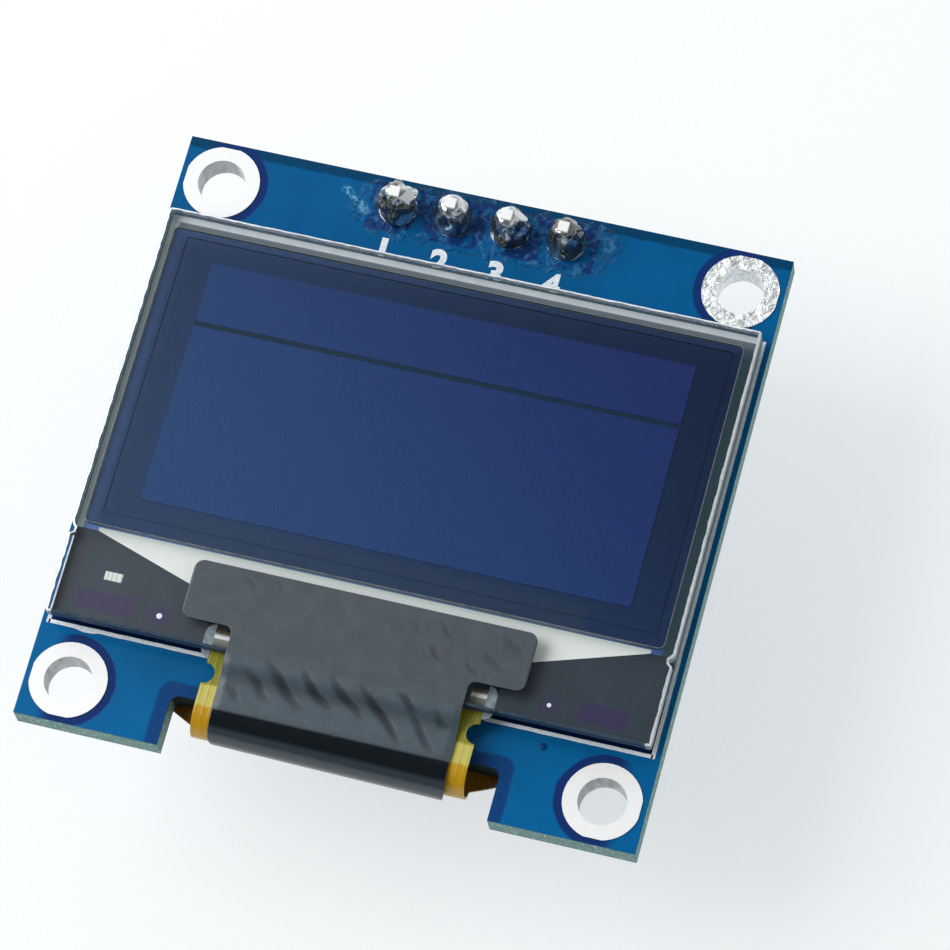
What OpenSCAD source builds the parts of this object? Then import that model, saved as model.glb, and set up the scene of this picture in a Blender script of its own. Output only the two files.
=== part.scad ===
// Small two-zone OLED display on a carrier board with a four-pin header.
// The origin is the centre of the four mounting holes on the board's rear face.
// +Z points out of the display's face and +Y towards the header's edge.

/* [Circuit board] */
// Margin of the board beyond the panel's left and right edges
board_margin = 0.35; // [0.2:0.05:3]
// Strip of the board above the panel, with the header
board_above = 4.04; // [3.6:0.02:7]
// Strip of the board below the panel, with the notch
board_below = 4.3; // [4:0.05:6]
// Thickness of the board
pcb_t = 1.2; // [0.8:0.1:1.6]
// Width of the notch that the flexible circuit folds through
notch_w = 14.5; // [13:0.1:17]
// Depth of that notch from the board's lower edge
notch_depth = 2.3; // [1.9:0.1:2.8]
// Radius that the router leaves in the notch's inner corners
notch_r = 0.4; // [0.2:0.05:0.8]
// Thickness of the plated copper and its solder coat
copper_t = 0.05; // [0.03:0.01:0.1]
// Bare strip that copper keeps clear along the board's edge
copper_setback = 0.25; // [0.15:0.05:0.4]

/* [Mounting holes] */
// Distance from each hole's centre to the board's two nearest edges
hole_inset = 1.9; // [1.8:0.05:2.2]
// Finished diameter of a plated hole
hole_d = 2.1; // [1.8:0.1:2.4]
// Diameter of the metal ring around it
ring_d = 3.4; // [2.9:0.1:3.6]

/* [Header] */
// Distance between neighbouring pins
pin_pitch = 2.54; // [2:0.01:2.8]
// Side of the square pin
pin_size = 0.64; // [0.5:0.01:0.7]
// Distance from the board's upper edge to the row of pins
header_inset = 1.35; // [1.2:0.05:1.8]
// Height of the pins' short ends above the board's front face
pin_front = 1.85; // [1.4:0.05:2.5]
// Length of the pins below the plastic body
pin_rear = 6; // [4:0.1:9]
// Taper at the pins' sheared front ends
pin_front_taper = 0.06; // [0.03:0.01:0.12]
// Taper at the pins' pointed rear ends
pin_rear_taper = 0.16; // [0.08:0.02:0.24]
// Depth of the plastic body along Z
header_depth = 2.54; // [1.5:0.01:3]
// Breadth of the plastic body along Y
header_breadth = 2.5; // [2:0.05:2.6]
// Chamfer that divides the plastic body into its cells
header_chamfer = 0.4; // [0.2:0.05:0.6]
// Diameter of the drilled hole for a pin
header_hole_d = 1.1; // [1.05:0.05:1.3]
// Diameter of the pad around a pin
header_pad_d = 1.7; // [1.55:0.05:1.9]
// Height that the solder climbs up the pin above its pad
solder_h = 1.35; // [1.1:0.05:1.4]
// Height of the solder's rim on the pad
solder_rim = 0.15; // [0.08:0.01:0.3]
// Radius of the solder's hollow flank
solder_flank_r = 1.5; // [0.8:0.1:3]
// Thickness of the solder round the pin's corners at its top
solder_neck = 0.06; // [0.04:0.01:0.1]
// Gap left between solder and the surfaces it wets, so that curved faces stay apart
solder_gap = 0.01; // [0.01:0.01:0.03]

/* [Display panel] */
// Width of the panel's glass
panel_w = 26.6; // [25.5:0.1:27]
// Height of the front glass, with its contact ledge
panel_h = 19.26; // [18.6:0.01:20]
// Thickness of the adhesive foam under the panel
adhesive_t = 0.3; // [0.2:0.05:0.5]
// How far the foam stays inside the rear glass
adhesive_inset = 0.3; // [0.2:0.05:0.8]
// Thickness of the rear glass
cap_t = 0.5; // [0.4:0.05:0.7]
// Depth of the pocket etched into the rear glass
cap_pocket = 0.25; // [0.2:0.05:0.3]
// Thickness of the drying film in that pocket
getter_t = 0.15; // [0.05:0.01:0.18]
// Gap between the glasses, which the seal fills
seal_t = 0.05; // [0.04:0.01:0.08]
// Width of the seal
seal_w = 0.9; // [0.6:0.05:1.2]
// How far the seal stays inside the rear glass beside the ledge
seal_inset = 0.3; // [0.2:0.05:0.5]
// How far the seal stays inside the rear glass at its other three edges
seal_side_inset = 0.12; // [0.08:0.02:0.3]
// Thickness of the front glass
substrate_t = 0.55; // [0.4:0.05:0.7]
// Ground chamfer along the front glass's edges
arris = 0.1; // [0.05:0.01:0.2]
// Radius of the nicks that the scribing wheel leaves beside the ledge
nick_r = 0.2; // [0.1:0.05:0.3]
// Height of the ledge that the front glass shows below the rear glass
ledge_h = 3.85; // [3.6:0.05:4.4]
// Thickness of the polarizing film
polarizer_t = 0.2; // [0.1:0.02:0.3]
// Bare glass beside the polarizing film
polarizer_edge = 0.5; // [0.3:0.05:1]
// Bare glass above the polarizing film
polarizer_top = 0.93; // [0.5:0.01:1.2]
// Bare glass of the ledge below the polarizing film
polarizer_bottom = 4.2; // [4:0.05:4.6]
// Corner radius of the polarizing film
polarizer_r = 0.25; // [0.1:0.05:0.6]

/* [Pixels and leads] */
// Thickness of the printed layers on the front glass
film_t = 0.03; // [0.02:0.01:0.03]
// Distance from the glass's left and right edges to the lit area
active_margin = 2.43; // [2:0.01:3]
// Distance from the glass's upper edge to the lit area
active_top = 2; // [1.9:0.05:2.2]
// Height of the upper band of pixel rows
upper_rows_h = 2.76; // [2.4:0.01:3]
// Dark line between the two bands
rows_gap = 0.24; // [0.1:0.01:0.4]
// Distance from the glass's lower edge to the lit area
active_bottom = 5.96; // [5.7:0.01:6.5]
// Distance from the glass's left and right edges to the fan of leads
fan_margin = 1.1; // [0.9:0.05:1.6]
// Width of the fan where it turns in to the driver
fan_neck_w = 15; // [12:0.1:16]
// Drop from the fan's upper edge to that turn
fan_drop = 1.5; // [1:0.01:1.6]
// How far the electrode film stays inside the ledge's edges
electrode_inset = 0.15; // [0.1:0.05:0.3]
// Length of the driver chip along X
driver_w = 6.8; // [5:0.1:9]
// Breadth of the driver chip along Y
driver_l = 0.9; // [0.7:0.05:1.1]
// Thickness of the driver chip
driver_t = 0.3; // [0.2:0.02:0.4]
// Gap between the driver chip and the flexible circuit
driver_gap = 0.2; // [0.1:0.05:0.4]

/* [Flexible circuit] */
// Width of the flexible circuit's neck
flex_w = 12; // [11:0.1:12.6]
// Thickness of the flexible circuit
flex_t = 0.1; // [0.06:0.01:0.15]
// Overlap that bonds it under the ledge
flex_bond = 1; // [0.9:0.05:1.3]
// How far the bend's axis lies outside the notch's inner edge
bend_offset = 0.44; // [0.3:0.01:0.5]
// Radius of the locating nicks in the neck's sides
flex_nick_r = 0.46; // [0.3:0.02:0.6]
// Distance from the glass's lower edge to those nicks
flex_nick_drop = 0.98; // [0.7:0.02:1.2]
// Distance below the bend's axis where the neck starts to widen
shoulder_start = 0.5; // [0.4:0.05:0.8]
// Length of the slanted shoulder along Y
shoulder_l = 1.65; // [1.4:0.05:2]
// Length of the tail from the bend's axis to its soldered end
tail_l = 4.7; // [4:0.1:5.5]
// Distance between neighbouring contacts of the tail
contact_pitch = 0.62; // [0.5:0.01:0.63]
// Margin of the tail beside its outermost contacts
contact_edge = 0.25; // [0.15:0.05:0.5]
// Width of one contact's land on the board
contact_w = 0.32; // [0.2:0.02:0.4]
// Length of a land that runs under the tail
contact_under = 1.2; // [0.9:0.1:1.6]
// Length of a land beyond the tail's end
contact_out = 0.6; // [0.5:0.05:0.9]
// Radius of the solder's rounded back over a contact
contact_solder_r = 0.75; // [0.7:0.01:0.85]
// Height of that solder above its land
contact_solder_h = 0.38; // [0.3:0.02:0.4]
// Distance from the tail's end back to the crown of that solder
contact_solder_back = 0.2; // [0.1:0.05:0.3]
// Width of the metal mark at each end of the bond
mark_w = 0.7; // [0.5:0.05:0.75]
// Height of that mark
mark_h = 0.7; // [0.5:0.05:0.8]
// Distance of the mark from the glass's lower edge
mark_drop = 0.15; // [0.1:0.05:0.2]
// Width of the resin bead beside the bond
bead_w = 0.42; // [0.3:0.02:0.6]
// Length of that bead
bead_l = 1.1; // [0.9:0.05:1.3]
// Depth of that bead below the glass
bead_t = 0.35; // [0.2:0.05:0.5]

/* [Cover tape] */
// Thickness of the black tape
tape_t = 0.06; // [0.04:0.01:0.1]
// Gap that its glue keeps over the flexible circuit
tape_glue = 0.01; // [0.01:0.01:0.03]
// Width of the tape's head on the ledge
tape_head_w = 15.1; // [14:0.1:16]
// Height of the tape's head
tape_head_h = 2.65; // [2:0.05:2.8]
// Corner radius of the tape's head
tape_head_r = 0.4; // [0.2:0.05:0.8]
// Distance from the polarizing film down to the tape's head
tape_head_gap = 0.5; // [0.2:0.05:0.8]
// Width of the tape's neck
tape_neck_w = 10.4; // [9:0.1:11]
// Radius in the corners between head and neck
tape_fillet_r = 0.35; // [0.2:0.05:0.5]
// Run of the tape from the glass's edge down to the flexible circuit
tape_drape = 1.5; // [1.2:0.05:1.6]
// Angle that the tape follows round the bend
tape_wrap = 112; // [95:1:125]
// Corner radius at the tape's lower end
tape_end_r = 0.35; // [0.2:0.05:0.6]

/* [Rear components] */
// Distance between neighbouring chips of a row
chip_pitch = 2.2; // [1.9:0.1:2.4]
// Free strip between the tail's lands and the row of chips above them
lower_row_gap = 1; // [0.6:0.1:3]
// Free strip between the header and the parts below it
upper_row_gap = 2.4; // [1.5:0.1:4]
// Distance from the board's left edge to the first chip beside the header
left_chip_inset = 4.6; // [4.4:0.1:5.5]
// Distance from the board's right edge to the regulator's centre
regulator_inset = 5; // [4.6:0.1:6]
// Distance from the regulator's centre to the chips beside it
regulator_clear = 3; // [2.8:0.1:4]
// Length of a chip resistor or capacitor
chip_l = 1.6; // [1.4:0.05:1.8]
// Breadth of a chip
chip_w = 0.8; // [0.6:0.05:1]
// Height of a chip resistor
resistor_h = 0.45; // [0.35:0.05:0.6]
// Height of a chip capacitor
capacitor_h = 0.8; // [0.5:0.05:1]
// Length of a chip's metal end
chip_end_l = 0.3; // [0.2:0.05:0.4]
// Reach of the solder foot beyond a chip's end
chip_foot = 0.2; // [0.1:0.05:0.3]
// Side of a chip's land on the board
chip_land = 0.9; // [0.8:0.05:1.1]
// Length of the regulator's body
regulator_l = 2.9; // [2.6:0.1:3.1]
// Breadth of the regulator's body at its parting line
regulator_w = 1.3; // [1.2:0.05:1.6]
// Height of the regulator's body
regulator_h = 1; // [0.8:0.05:1.2]
// Draft of the regulator's faces from the parting line
regulator_draft = 0.08; // [0.04:0.01:0.12]
// Gap under the regulator's body
regulator_gap = 0.1; // [0.05:0.01:0.15]
// Distance between the two leads on the regulator's one side
regulator_pitch = 1.9; // [1.7:0.1:2.1]
// Width of a regulator's lead
lead_w = 0.4; // [0.3:0.02:0.5]
// Thickness of a regulator's lead
lead_t = 0.12; // [0.1:0.01:0.15]
// Reach of a lead beyond the regulator's body
lead_reach = 0.55; // [0.45:0.05:0.7]
// Length of a lead's foot
lead_foot = 0.25; // [0.2:0.05:0.35]

/* [Hidden] */
$fn = 64;
// Overshoot of a cutting shape past the face it cuts
over = 1;
// Degrees by which two arcs overlap where they meet
lap = 1;

hole_total = 4;
pin_total = 4;
contact_total = 30;

// The board's outline follows the panel, and its origin is the centre of the holes
pcb_w = panel_w + 2 * board_margin;
pcb_h = panel_h + board_above + board_below;
panel_y = (board_below - board_above) / 2;
hole_pitch_x = pcb_w - 2 * hole_inset;
hole_pitch_y = pcb_h - 2 * hole_inset;

// Edges of the panel along Y
panel_top_y = panel_y + panel_h / 2;
panel_bottom_y = panel_y - panel_h / 2;

// Widths and heights inside the panel
active_w = panel_w - 2 * active_margin;
lower_rows_h = panel_h - active_top - upper_rows_h - rows_gap - active_bottom;
fan_w = panel_w - 2 * fan_margin;

// The fold of the flexible circuit round the notch's inner edge, and its tail
notch_y = -pcb_h / 2 + notch_depth;
bend_y = notch_y - bend_offset;
tail_end_y = bend_y + tail_l;
tail_w = (contact_total - 1) * contact_pitch + contact_w + 2 * contact_edge;
pin_y = pcb_h / 2 - header_inset;

// Places of the rear components: X, Y and turn about Z
chip_reach = (chip_l + chip_foot + chip_land) / 2;
lower_row_y = tail_end_y + contact_out + lower_row_gap + chip_reach;
upper_row_y = pin_y - header_breadth / 2 - upper_row_gap - chip_reach;
function lower_row(i) = [(i - 4.5) * chip_pitch, lower_row_y, 90];
function left_row(i) = [-pcb_w / 2 + left_chip_inset + (i - 1) * chip_pitch, upper_row_y, 90];
regulator_spot = [pcb_w / 2 - regulator_inset, upper_row_y, 90];
function supply_row(i) =
    [regulator_spot[0] - regulator_clear - (i - 1) * chip_pitch, upper_row_y, 90];
resistor_spots = concat([for (i = [1:3]) left_row(i)], [for (i = [3, 7]) lower_row(i)]);
capacitor_spots = concat([for (i = [1, 2, 4, 5, 6, 8]) lower_row(i)],
                         [for (i = [1:2]) supply_row(i)]);

function numbered(name, count) = [for (i = [1:count]) str(name, "_", i)];

// Levels along Z, from the board's rear face forward
cap_z = pcb_t + adhesive_t;
seal_z = cap_z + cap_t;
substrate_z = seal_z + seal_t;
glass_top_z = substrate_z + substrate_t;
film_z = substrate_z - film_t;
flex_z = film_z - flex_t;
pocket_z = seal_z - cap_pocket;

// Edges inside the panel along Y
cap_bottom_y = panel_bottom_y + ledge_h;
seal_bottom_y = cap_bottom_y + seal_inset;
polarizer_bottom_y = panel_bottom_y + polarizer_bottom;
bond_top_y = panel_bottom_y + flex_bond;
driver_y = bond_top_y + driver_gap + driver_l / 2;

// Levels of the fold
tail_z = -copper_t - flex_t;
bend_r = (flex_z + copper_t) / 2;
bend_z = flex_z - bend_r;

// The tape's drape from the ledge down to the flexible circuit, as two equal arcs
tape_low_z = film_z + tape_glue;
tape_drop = glass_top_z - tape_low_z;
drape_angle = 2 * atan(tape_drop / tape_drape);
drape_r = tape_drape / (2 * sin(drape_angle));
tape_bend_r = tape_low_z - bend_z;
tape_head_top_y = polarizer_bottom_y - tape_head_gap;
tape_head_bottom_y = tape_head_top_y - tape_head_h;

// The header behind the board
header_top_z = -copper_t;
pin_low_z = header_top_z - header_depth - pin_rear;
pin_high_z = pcb_t + pin_front;

function pin_x(i) = (i - (pin_total + 1) / 2) * pin_pitch;
function hole_spot(i) = [(i % 2 == 1 ? -1 : 1) * hole_pitch_x / 2,
                         (i <= 2 ? 1 : -1) * hole_pitch_y / 2];

// ---- Shared shapes ----

module rounded_rect(w, h, r) {
    square([w - 2 * r, h], center = true);
    square([w, h - 2 * r], center = true);
    for (sx = [-1, 1], sy = [-1, 1])
        translate([sx * (w / 2 - r), sy * (h / 2 - r)]) circle(r);
}

// A rectangle between two heights along Y, centred on X
module band(w, low_y, high_y) {
    translate([-w / 2, low_y]) square([w, high_y - low_y]);
}

// Extrudes a profile drawn in Y and Z along X, centred
module along_x(w) {
    rotate([90, 0, 90]) linear_extrude(w, center = true) children();
}

// Extrudes a profile drawn in X and Z along Y, centred
module along_y(l) {
    rotate([90, 0, 0]) linear_extrude(l, center = true) children();
}

// Part of a ring between two angles, from the inner radius outward
module ring_sector(r, t, from, to) {
    reach = 2 * (r + t);
    intersection() {
        difference() {
            circle(r + t);
            circle(r);
        }
        polygon(concat([[0, 0]],
            [for (step = [0:4]) let (a = from + (to - from) * step / 4)
                [reach * cos(a), reach * sin(a)]]));
    }
}

// Puts a component on the board's rear face, its top pointing away
module on_rear(spot) {
    translate([spot[0], spot[1], -copper_t]) rotate([0, 0, spot[2]])
        mirror([0, 0, 1]) children();
}

// ---- Board ----

module board_outline() {
    difference() {
        square([pcb_w, pcb_h], center = true);
        translate([0, -pcb_h / 2])
            rounded_rect(notch_w, 2 * notch_depth, notch_r);
    }
}

module pcb() {
    color([0.02, 0.3, 0.55]) difference() {
        linear_extrude(pcb_t) board_outline();
        for (i = [1:hole_total]) translate(hole_spot(i)) translate([0, 0, -over])
            cylinder(d = hole_d + 2 * copper_t, h = pcb_t + 2 * over);
        for (i = [1:pin_total]) translate([pin_x(i), pin_y, -over])
            cylinder(d = header_hole_d, h = pcb_t + 2 * over);
    }
}

// Copper stays inside this outline
module copper_limit() {
    square([pcb_w - 2 * copper_setback, pcb_h - 2 * copper_setback], center = true);
}

// A plated hole: a thin barrel with a flat ring on each face
module plated_hole(spot, pad_d, outer_d, inner_d) {
    difference() {
        union() {
            translate([spot[0], spot[1], 0]) cylinder(d = outer_d, h = pcb_t);
            for (z = [-copper_t, pcb_t]) translate([0, 0, z])
                linear_extrude(copper_t) intersection() {
                    translate(spot) circle(d = pad_d);
                    copper_limit();
                }
        }
        translate([spot[0], spot[1], -over]) cylinder(d = inner_d, h = pcb_t + 2 * over);
    }
}

module mount_lining(i) {
    color([0.86, 0.87, 0.88])
        plated_hole(hole_spot(i), ring_d, hole_d + 2 * copper_t, hole_d);
}

// ---- Header ----

module header_pad(i) {
    color([0.8, 0.81, 0.82])
        plated_hole([pin_x(i), pin_y], header_pad_d, header_hole_d, header_hole_d - 2 * copper_t);
}

module header_cell() {
    w = pin_pitch / 2;
    b = header_breadth / 2;
    c = header_chamfer;
    polygon([[-w + c, -b], [w - c, -b], [w, -b + c], [w, b - c],
             [w - c, b], [-w + c, b], [-w, b - c], [-w, -b + c]]);
}

module header_body() {
    color([0.08, 0.08, 0.09])
        translate([0, 0, header_top_z - header_depth]) linear_extrude(header_depth)
            difference() {
                for (i = [1:pin_total]) translate([pin_x(i), pin_y]) header_cell();
                for (i = [1:pin_total]) translate([pin_x(i), pin_y])
                    square(pin_size, center = true);
            }
}

// One side view of a pin: straight, with tapered ends
module pin_side() {
    w = pin_size / 2;
    polygon([[-w, pin_low_z + 2 * pin_rear_taper], [-w + pin_rear_taper, pin_low_z],
             [w - pin_rear_taper, pin_low_z], [w, pin_low_z + 2 * pin_rear_taper],
             [w, pin_high_z - pin_front_taper], [w - pin_front_taper, pin_high_z],
             [-w + pin_front_taper, pin_high_z], [-w, pin_high_z - pin_front_taper]]);
}

module header_pin(i) {
    color([0.83, 0.76, 0.55]) translate([pin_x(i), pin_y, 0]) intersection() {
        along_x(pin_size) pin_side();
        along_y(pin_size) pin_side();
    }
}

// Half section of a solder fillet: a hollow flank from the pad's rim up to the pin
module solder_flank() {
    foot = [header_pad_d / 2 - solder_gap, solder_rim];
    crown = [pin_size / sqrt(2) + solder_neck, solder_h];
    chord = crown - foot;
    hollow = (foot + crown) / 2 + sqrt(pow(solder_flank_r / norm(chord), 2) - 0.25)
        * [chord[1], -chord[0]];
    difference() {
        square([foot[0], crown[1]]);
        translate(hollow) circle(solder_flank_r);
    }
}

// Solder that fills the plated hole and climbs the pin in front of the board
module solder_joint(i) {
    base_z = pcb_t + copper_t;
    color([0.7, 0.71, 0.73]) translate([pin_x(i), pin_y, 0]) difference() {
        union() {
            translate([0, 0, base_z]) rotate_extrude() solder_flank();
            cylinder(r = header_hole_d / 2 - copper_t - solder_gap, h = base_z);
        }
        translate([0, 0, pcb_t]) cube([pin_size, pin_size, 4 * pcb_t], center = true);
    }
}

// ---- Panel, from the board forward ----

module panel_adhesive() {
    color([0.1, 0.1, 0.11]) translate([0, 0, pcb_t]) linear_extrude(adhesive_t)
        band(panel_w - 2 * adhesive_inset, cap_bottom_y + adhesive_inset,
             panel_top_y - adhesive_inset);
}

// Outline of the rear glass, drawn in beside the ledge and at its other three edges
module cap_outline(low, side) {
    band(panel_w - 2 * side, cap_bottom_y + low, panel_top_y - side);
}

// Outline of the pocket inside the seal, drawn in by a further margin
module pocket_outline(margin) {
    cap_outline(seal_inset + seal_w + margin, seal_side_inset + seal_w + margin);
}

module cap_glass() {
    color([0.45, 0.6, 0.62, 0.6]) difference() {
        translate([0, 0, cap_z]) linear_extrude(cap_t) cap_outline(0, 0);
        translate([0, 0, pocket_z]) linear_extrude(cap_pocket + over) pocket_outline(0);
    }
}

module getter_film() {
    color([0.75, 0.75, 0.72]) translate([0, 0, pocket_z]) linear_extrude(getter_t)
        pocket_outline(seal_w);
}

module seal_frame() {
    color([0.75, 0.78, 0.7]) translate([0, 0, seal_z]) linear_extrude(seal_t) difference() {
        cap_outline(seal_inset, seal_side_inset);
        pocket_outline(0);
    }
}

// The layers' common carrier inside the seal, which shows as the display's dark border
module cathode_film() {
    color([0.13, 0.17, 0.26]) translate([0, 0, seal_z]) linear_extrude(seal_t - film_t)
        pocket_outline(film_t);
}

module pixel_band(high_y, h) {
    translate([0, 0, film_z]) linear_extrude(film_t) band(active_w, high_y - h, high_y);
}

module upper_pixels() {
    color([0.2, 0.3, 0.52]) pixel_band(panel_top_y - active_top, upper_rows_h);
}

module lower_pixels() {
    color([0.19, 0.28, 0.5])
        pixel_band(panel_top_y - active_top - upper_rows_h - rows_gap, lower_rows_h);
}

// Outline of the lead fan from the seal in to the driver chip
module fan_outline() {
    top = seal_bottom_y;
    polygon([[-fan_w / 2, top], [fan_w / 2, top],
             [fan_neck_w / 2, top - fan_drop], [driver_w / 2, driver_y + driver_l / 2],
             [-driver_w / 2, driver_y + driver_l / 2], [-fan_neck_w / 2, top - fan_drop]]);
}

// Clear windows in the electrode film over the marks and beads at the bond's ends
module bond_windows() {
    for (side = [-1, 1]) translate([side * (flex_w / 2 + (bead_w - mark_w) / 2), bond_top_y])
        square([mark_w + bead_w, 2 * flex_bond], center = true);
}

module electrode_film() {
    color([0.22, 0.25, 0.29]) translate([0, 0, film_z]) linear_extrude(film_t) difference() {
        band(panel_w - 2 * electrode_inset, panel_bottom_y + electrode_inset, seal_bottom_y);
        fan_outline();
        bond_windows();
    }
}

module fan_leads() {
    color([0.93, 0.95, 0.9]) translate([0, 0, film_z]) linear_extrude(film_t) fan_outline();
}

// Plate with all its upper edges ground to a small chamfer
module ground_plate(w, h, t) {
    intersection() {
        along_x(w) plate_side(h, t);
        along_y(h) plate_side(w, t);
    }
}

module plate_side(l, t) {
    polygon([[-l / 2, 0], [l / 2, 0], [l / 2, t - arris], [l / 2 - arris, t],
             [-l / 2 + arris, t], [-l / 2, t - arris]]);
}

module substrate_glass() {
    color([0.6, 0.72, 0.75, 0.4]) difference() {
        translate([0, panel_y, substrate_z]) ground_plate(panel_w, panel_h, substrate_t);
        for (side = [-1, 1]) translate([side * panel_w / 2, cap_bottom_y, substrate_z - over])
            cylinder(r = nick_r, h = substrate_t + 2 * over);
    }
}

module polarizer() {
    low = polarizer_bottom_y;
    high = panel_top_y - polarizer_top;
    color([0.16, 0.2, 0.3, 0.7]) translate([0, (low + high) / 2, glass_top_z])
        linear_extrude(polarizer_t)
            rounded_rect(panel_w - 2 * polarizer_edge, high - low, polarizer_r);
}

module driver_chip() {
    color([0.3, 0.3, 0.33]) translate([0, driver_y, film_z - driver_t / 2])
        cube([driver_w, driver_l, driver_t], center = true);
}

// ---- Flexible circuit and its cover tape ----

// Side view: the bonded run, the half turn round the notch and the tail
module flex_side() {
    translate([bend_y, flex_z]) square([bond_top_y - bend_y, flex_t]);
    translate([bend_y, bend_z]) ring_sector(bend_r, flex_t, 90, 270);
    translate([bend_y, tail_z]) square([tail_l, flex_t]);
}

// What is cut away beside the neck in front of the bend's axis
module neck_side_cut() {
    translate([flex_w / 2, bend_y - bend_r - over])
        square([tail_w, bond_top_y - bend_y + bend_r + 2 * over]);
    translate([flex_w / 2, panel_bottom_y - flex_nick_drop]) circle(flex_nick_r);
}

// What is cut away below the slanted shoulder behind the bend's axis
module shoulder_cut() {
    start_y = bend_y - shoulder_start;
    end_y = start_y + shoulder_l;
    low_y = bend_y - bend_r - over;
    outer_x = tail_w / 2 + over;
    polygon([[flex_w / 2, low_y], [flex_w / 2, start_y], [tail_w / 2, end_y],
             [outer_x, end_y], [outer_x, low_y]]);
}

module flex_circuit() {
    color([0.78, 0.6, 0.2]) difference() {
        along_x(tail_w) flex_side();
        for (side = [0, 1]) mirror([side, 0, 0]) {
            translate([0, 0, bend_z]) linear_extrude(bend_r + flex_t + over) neck_side_cut();
            translate([0, 0, tail_z - over]) linear_extrude(bend_z - tail_z + over)
                shoulder_cut();
        }
    }
}

module flex_mark(side) {
    color([0.75, 0.74, 0.72])
        translate([side * (flex_w - mark_w) / 2, panel_bottom_y + mark_drop + mark_h / 2,
                   film_z + film_t / 2])
            cube([mark_w, mark_h, film_t], center = true);
}

// A rounded bead in the corner between the ledge's underside and the circuit's side
module resin_bead(side) {
    length = bead_l - bead_w;
    color([0.75, 0.79, 0.82, 0.7])
        translate([side * flex_w / 2, bond_top_y, substrate_z])
            mirror([side < 0 ? 1 : 0, 0, 0]) intersection() {
                union() {
                    translate([0, -bead_w / 2, 0]) sphere(bead_w);
                    translate([0, -bead_w / 2 - length, 0]) sphere(bead_w);
                    translate([0, -bead_w / 2, 0]) rotate([90, 0, 0])
                        cylinder(r = bead_w, h = length);
                }
                translate([0, -2 * bead_l, -bead_t]) cube([2 * bead_w, 4 * bead_l, bead_t]);
            }
}

// Side view of the tape: flat on the ledge, draped to the circuit, then round the bend
module tape_side() {
    mid_y = panel_bottom_y - tape_drape;
    translate([panel_bottom_y, glass_top_z])
        square([tape_head_top_y - panel_bottom_y, tape_t]);
    translate([panel_bottom_y, glass_top_z - drape_r])
        ring_sector(drape_r, tape_t, 90, 90 + drape_angle + lap);
    translate([mid_y, tape_low_z + drape_r])
        ring_sector(drape_r - tape_t, tape_t, 270, 270 + drape_angle + lap);
    translate([bend_y, tape_low_z]) square([mid_y - bend_y, tape_t]);
    translate([bend_y, bend_z]) ring_sector(tape_bend_r, tape_t, 90, 90 + tape_wrap);
}

// Plan of the tape: a rounded head and a narrower neck with filleted corners
module tape_plan() {
    low_y = bend_y - tape_bend_r - over;
    translate([0, tape_head_top_y - tape_head_h / 2])
        rounded_rect(tape_head_w, tape_head_h, tape_head_r);
    band(tape_neck_w, low_y, tape_head_top_y - tape_head_r);
    for (side = [0, 1]) mirror([side, 0])
        translate([tape_neck_w / 2, tape_head_bottom_y - tape_fillet_r]) difference() {
            square(tape_fillet_r);
            translate([tape_fillet_r, 0]) circle(tape_fillet_r);
        }
}

module cover_tape() {
    end_z = bend_z + (tape_bend_r + tape_t) * cos(tape_wrap);
    low_y = bend_y - tape_bend_r - over;
    color([0.16, 0.18, 0.2]) difference() {
        along_x(tape_head_w) tape_side();
        translate([0, 0, end_z - over]) linear_extrude(glass_top_z - end_z + 2 * over)
            difference() {
                band(tape_head_w + 2 * over, low_y, tape_head_top_y + over);
                tape_plan();
            }
        for (side = [0, 1]) mirror([side, 0, 0])
            translate([tape_neck_w / 2 - tape_end_r, bend_y, end_z + tape_end_r])
                along_y(2 * (tape_bend_r + over)) difference() {
                    translate([0, -tape_end_r]) square(tape_end_r);
                    circle(tape_end_r);
                }
    }
}

// ---- Rear face ----

function contact_x(i) = (i - (contact_total + 1) / 2) * contact_pitch;

module flex_lands() {
    color([0.85, 0.7, 0.4]) for (i = [1:contact_total])
        translate([contact_x(i) - contact_w / 2, tail_end_y - contact_under, -copper_t])
            cube([contact_w, contact_under + contact_out, copper_t]);
}

// Side view of one solder hump: on the land beyond the tail and over the tail's end
module contact_solder_side() {
    difference() {
        intersection() {
            translate([tail_end_y - contact_solder_back,
                       contact_solder_r - contact_solder_h - copper_t])
                circle(contact_solder_r);
            translate([tail_end_y - 2 * contact_solder_r, -copper_t - contact_solder_h])
                square([4 * contact_solder_r, contact_solder_h]);
        }
        translate([tail_end_y - 3 * contact_solder_r, tail_z])
            square([3 * contact_solder_r, flex_t + over]);
    }
}

module flex_solder() {
    color([0.72, 0.73, 0.75]) for (i = [1:contact_total])
        translate([contact_x(i), 0, 0]) along_x(contact_w) contact_solder_side();
}

module chip_body(h) {
    translate([0, 0, h / 2]) cube([chip_l - 2 * chip_end_l, chip_w, h], center = true);
}

// The two metal ends of one chip, each with its solder foot
module chip_ends(h) {
    inner = chip_l / 2 - chip_end_l;
    outer = chip_l / 2;
    for (side = [0, 1]) mirror([side, 0, 0]) along_y(chip_w)
        polygon([[inner, 0], [outer + chip_foot, 0], [outer, h / 2], [outer, h], [inner, h]]);
}

module chip_lands() {
    color([0.85, 0.7, 0.4]) {
        for (spot = concat(resistor_spots, capacitor_spots)) on_rear(spot)
            for (side = [-1, 1])
                translate([side * (chip_l + chip_foot) / 2 - chip_land / 2, -chip_land / 2,
                           -copper_t])
                    cube([chip_land, chip_land, copper_t]);
        on_rear(regulator_spot) for (lead = regulator_lead_spots())
            translate([lead[0] - chip_land / 2,
                       lead[1] * (regulator_w / 2 + lead_reach - lead_foot / 2) - chip_land / 2,
                       -copper_t])
                cube([chip_land, chip_land, copper_t]);
    }
}

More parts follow.
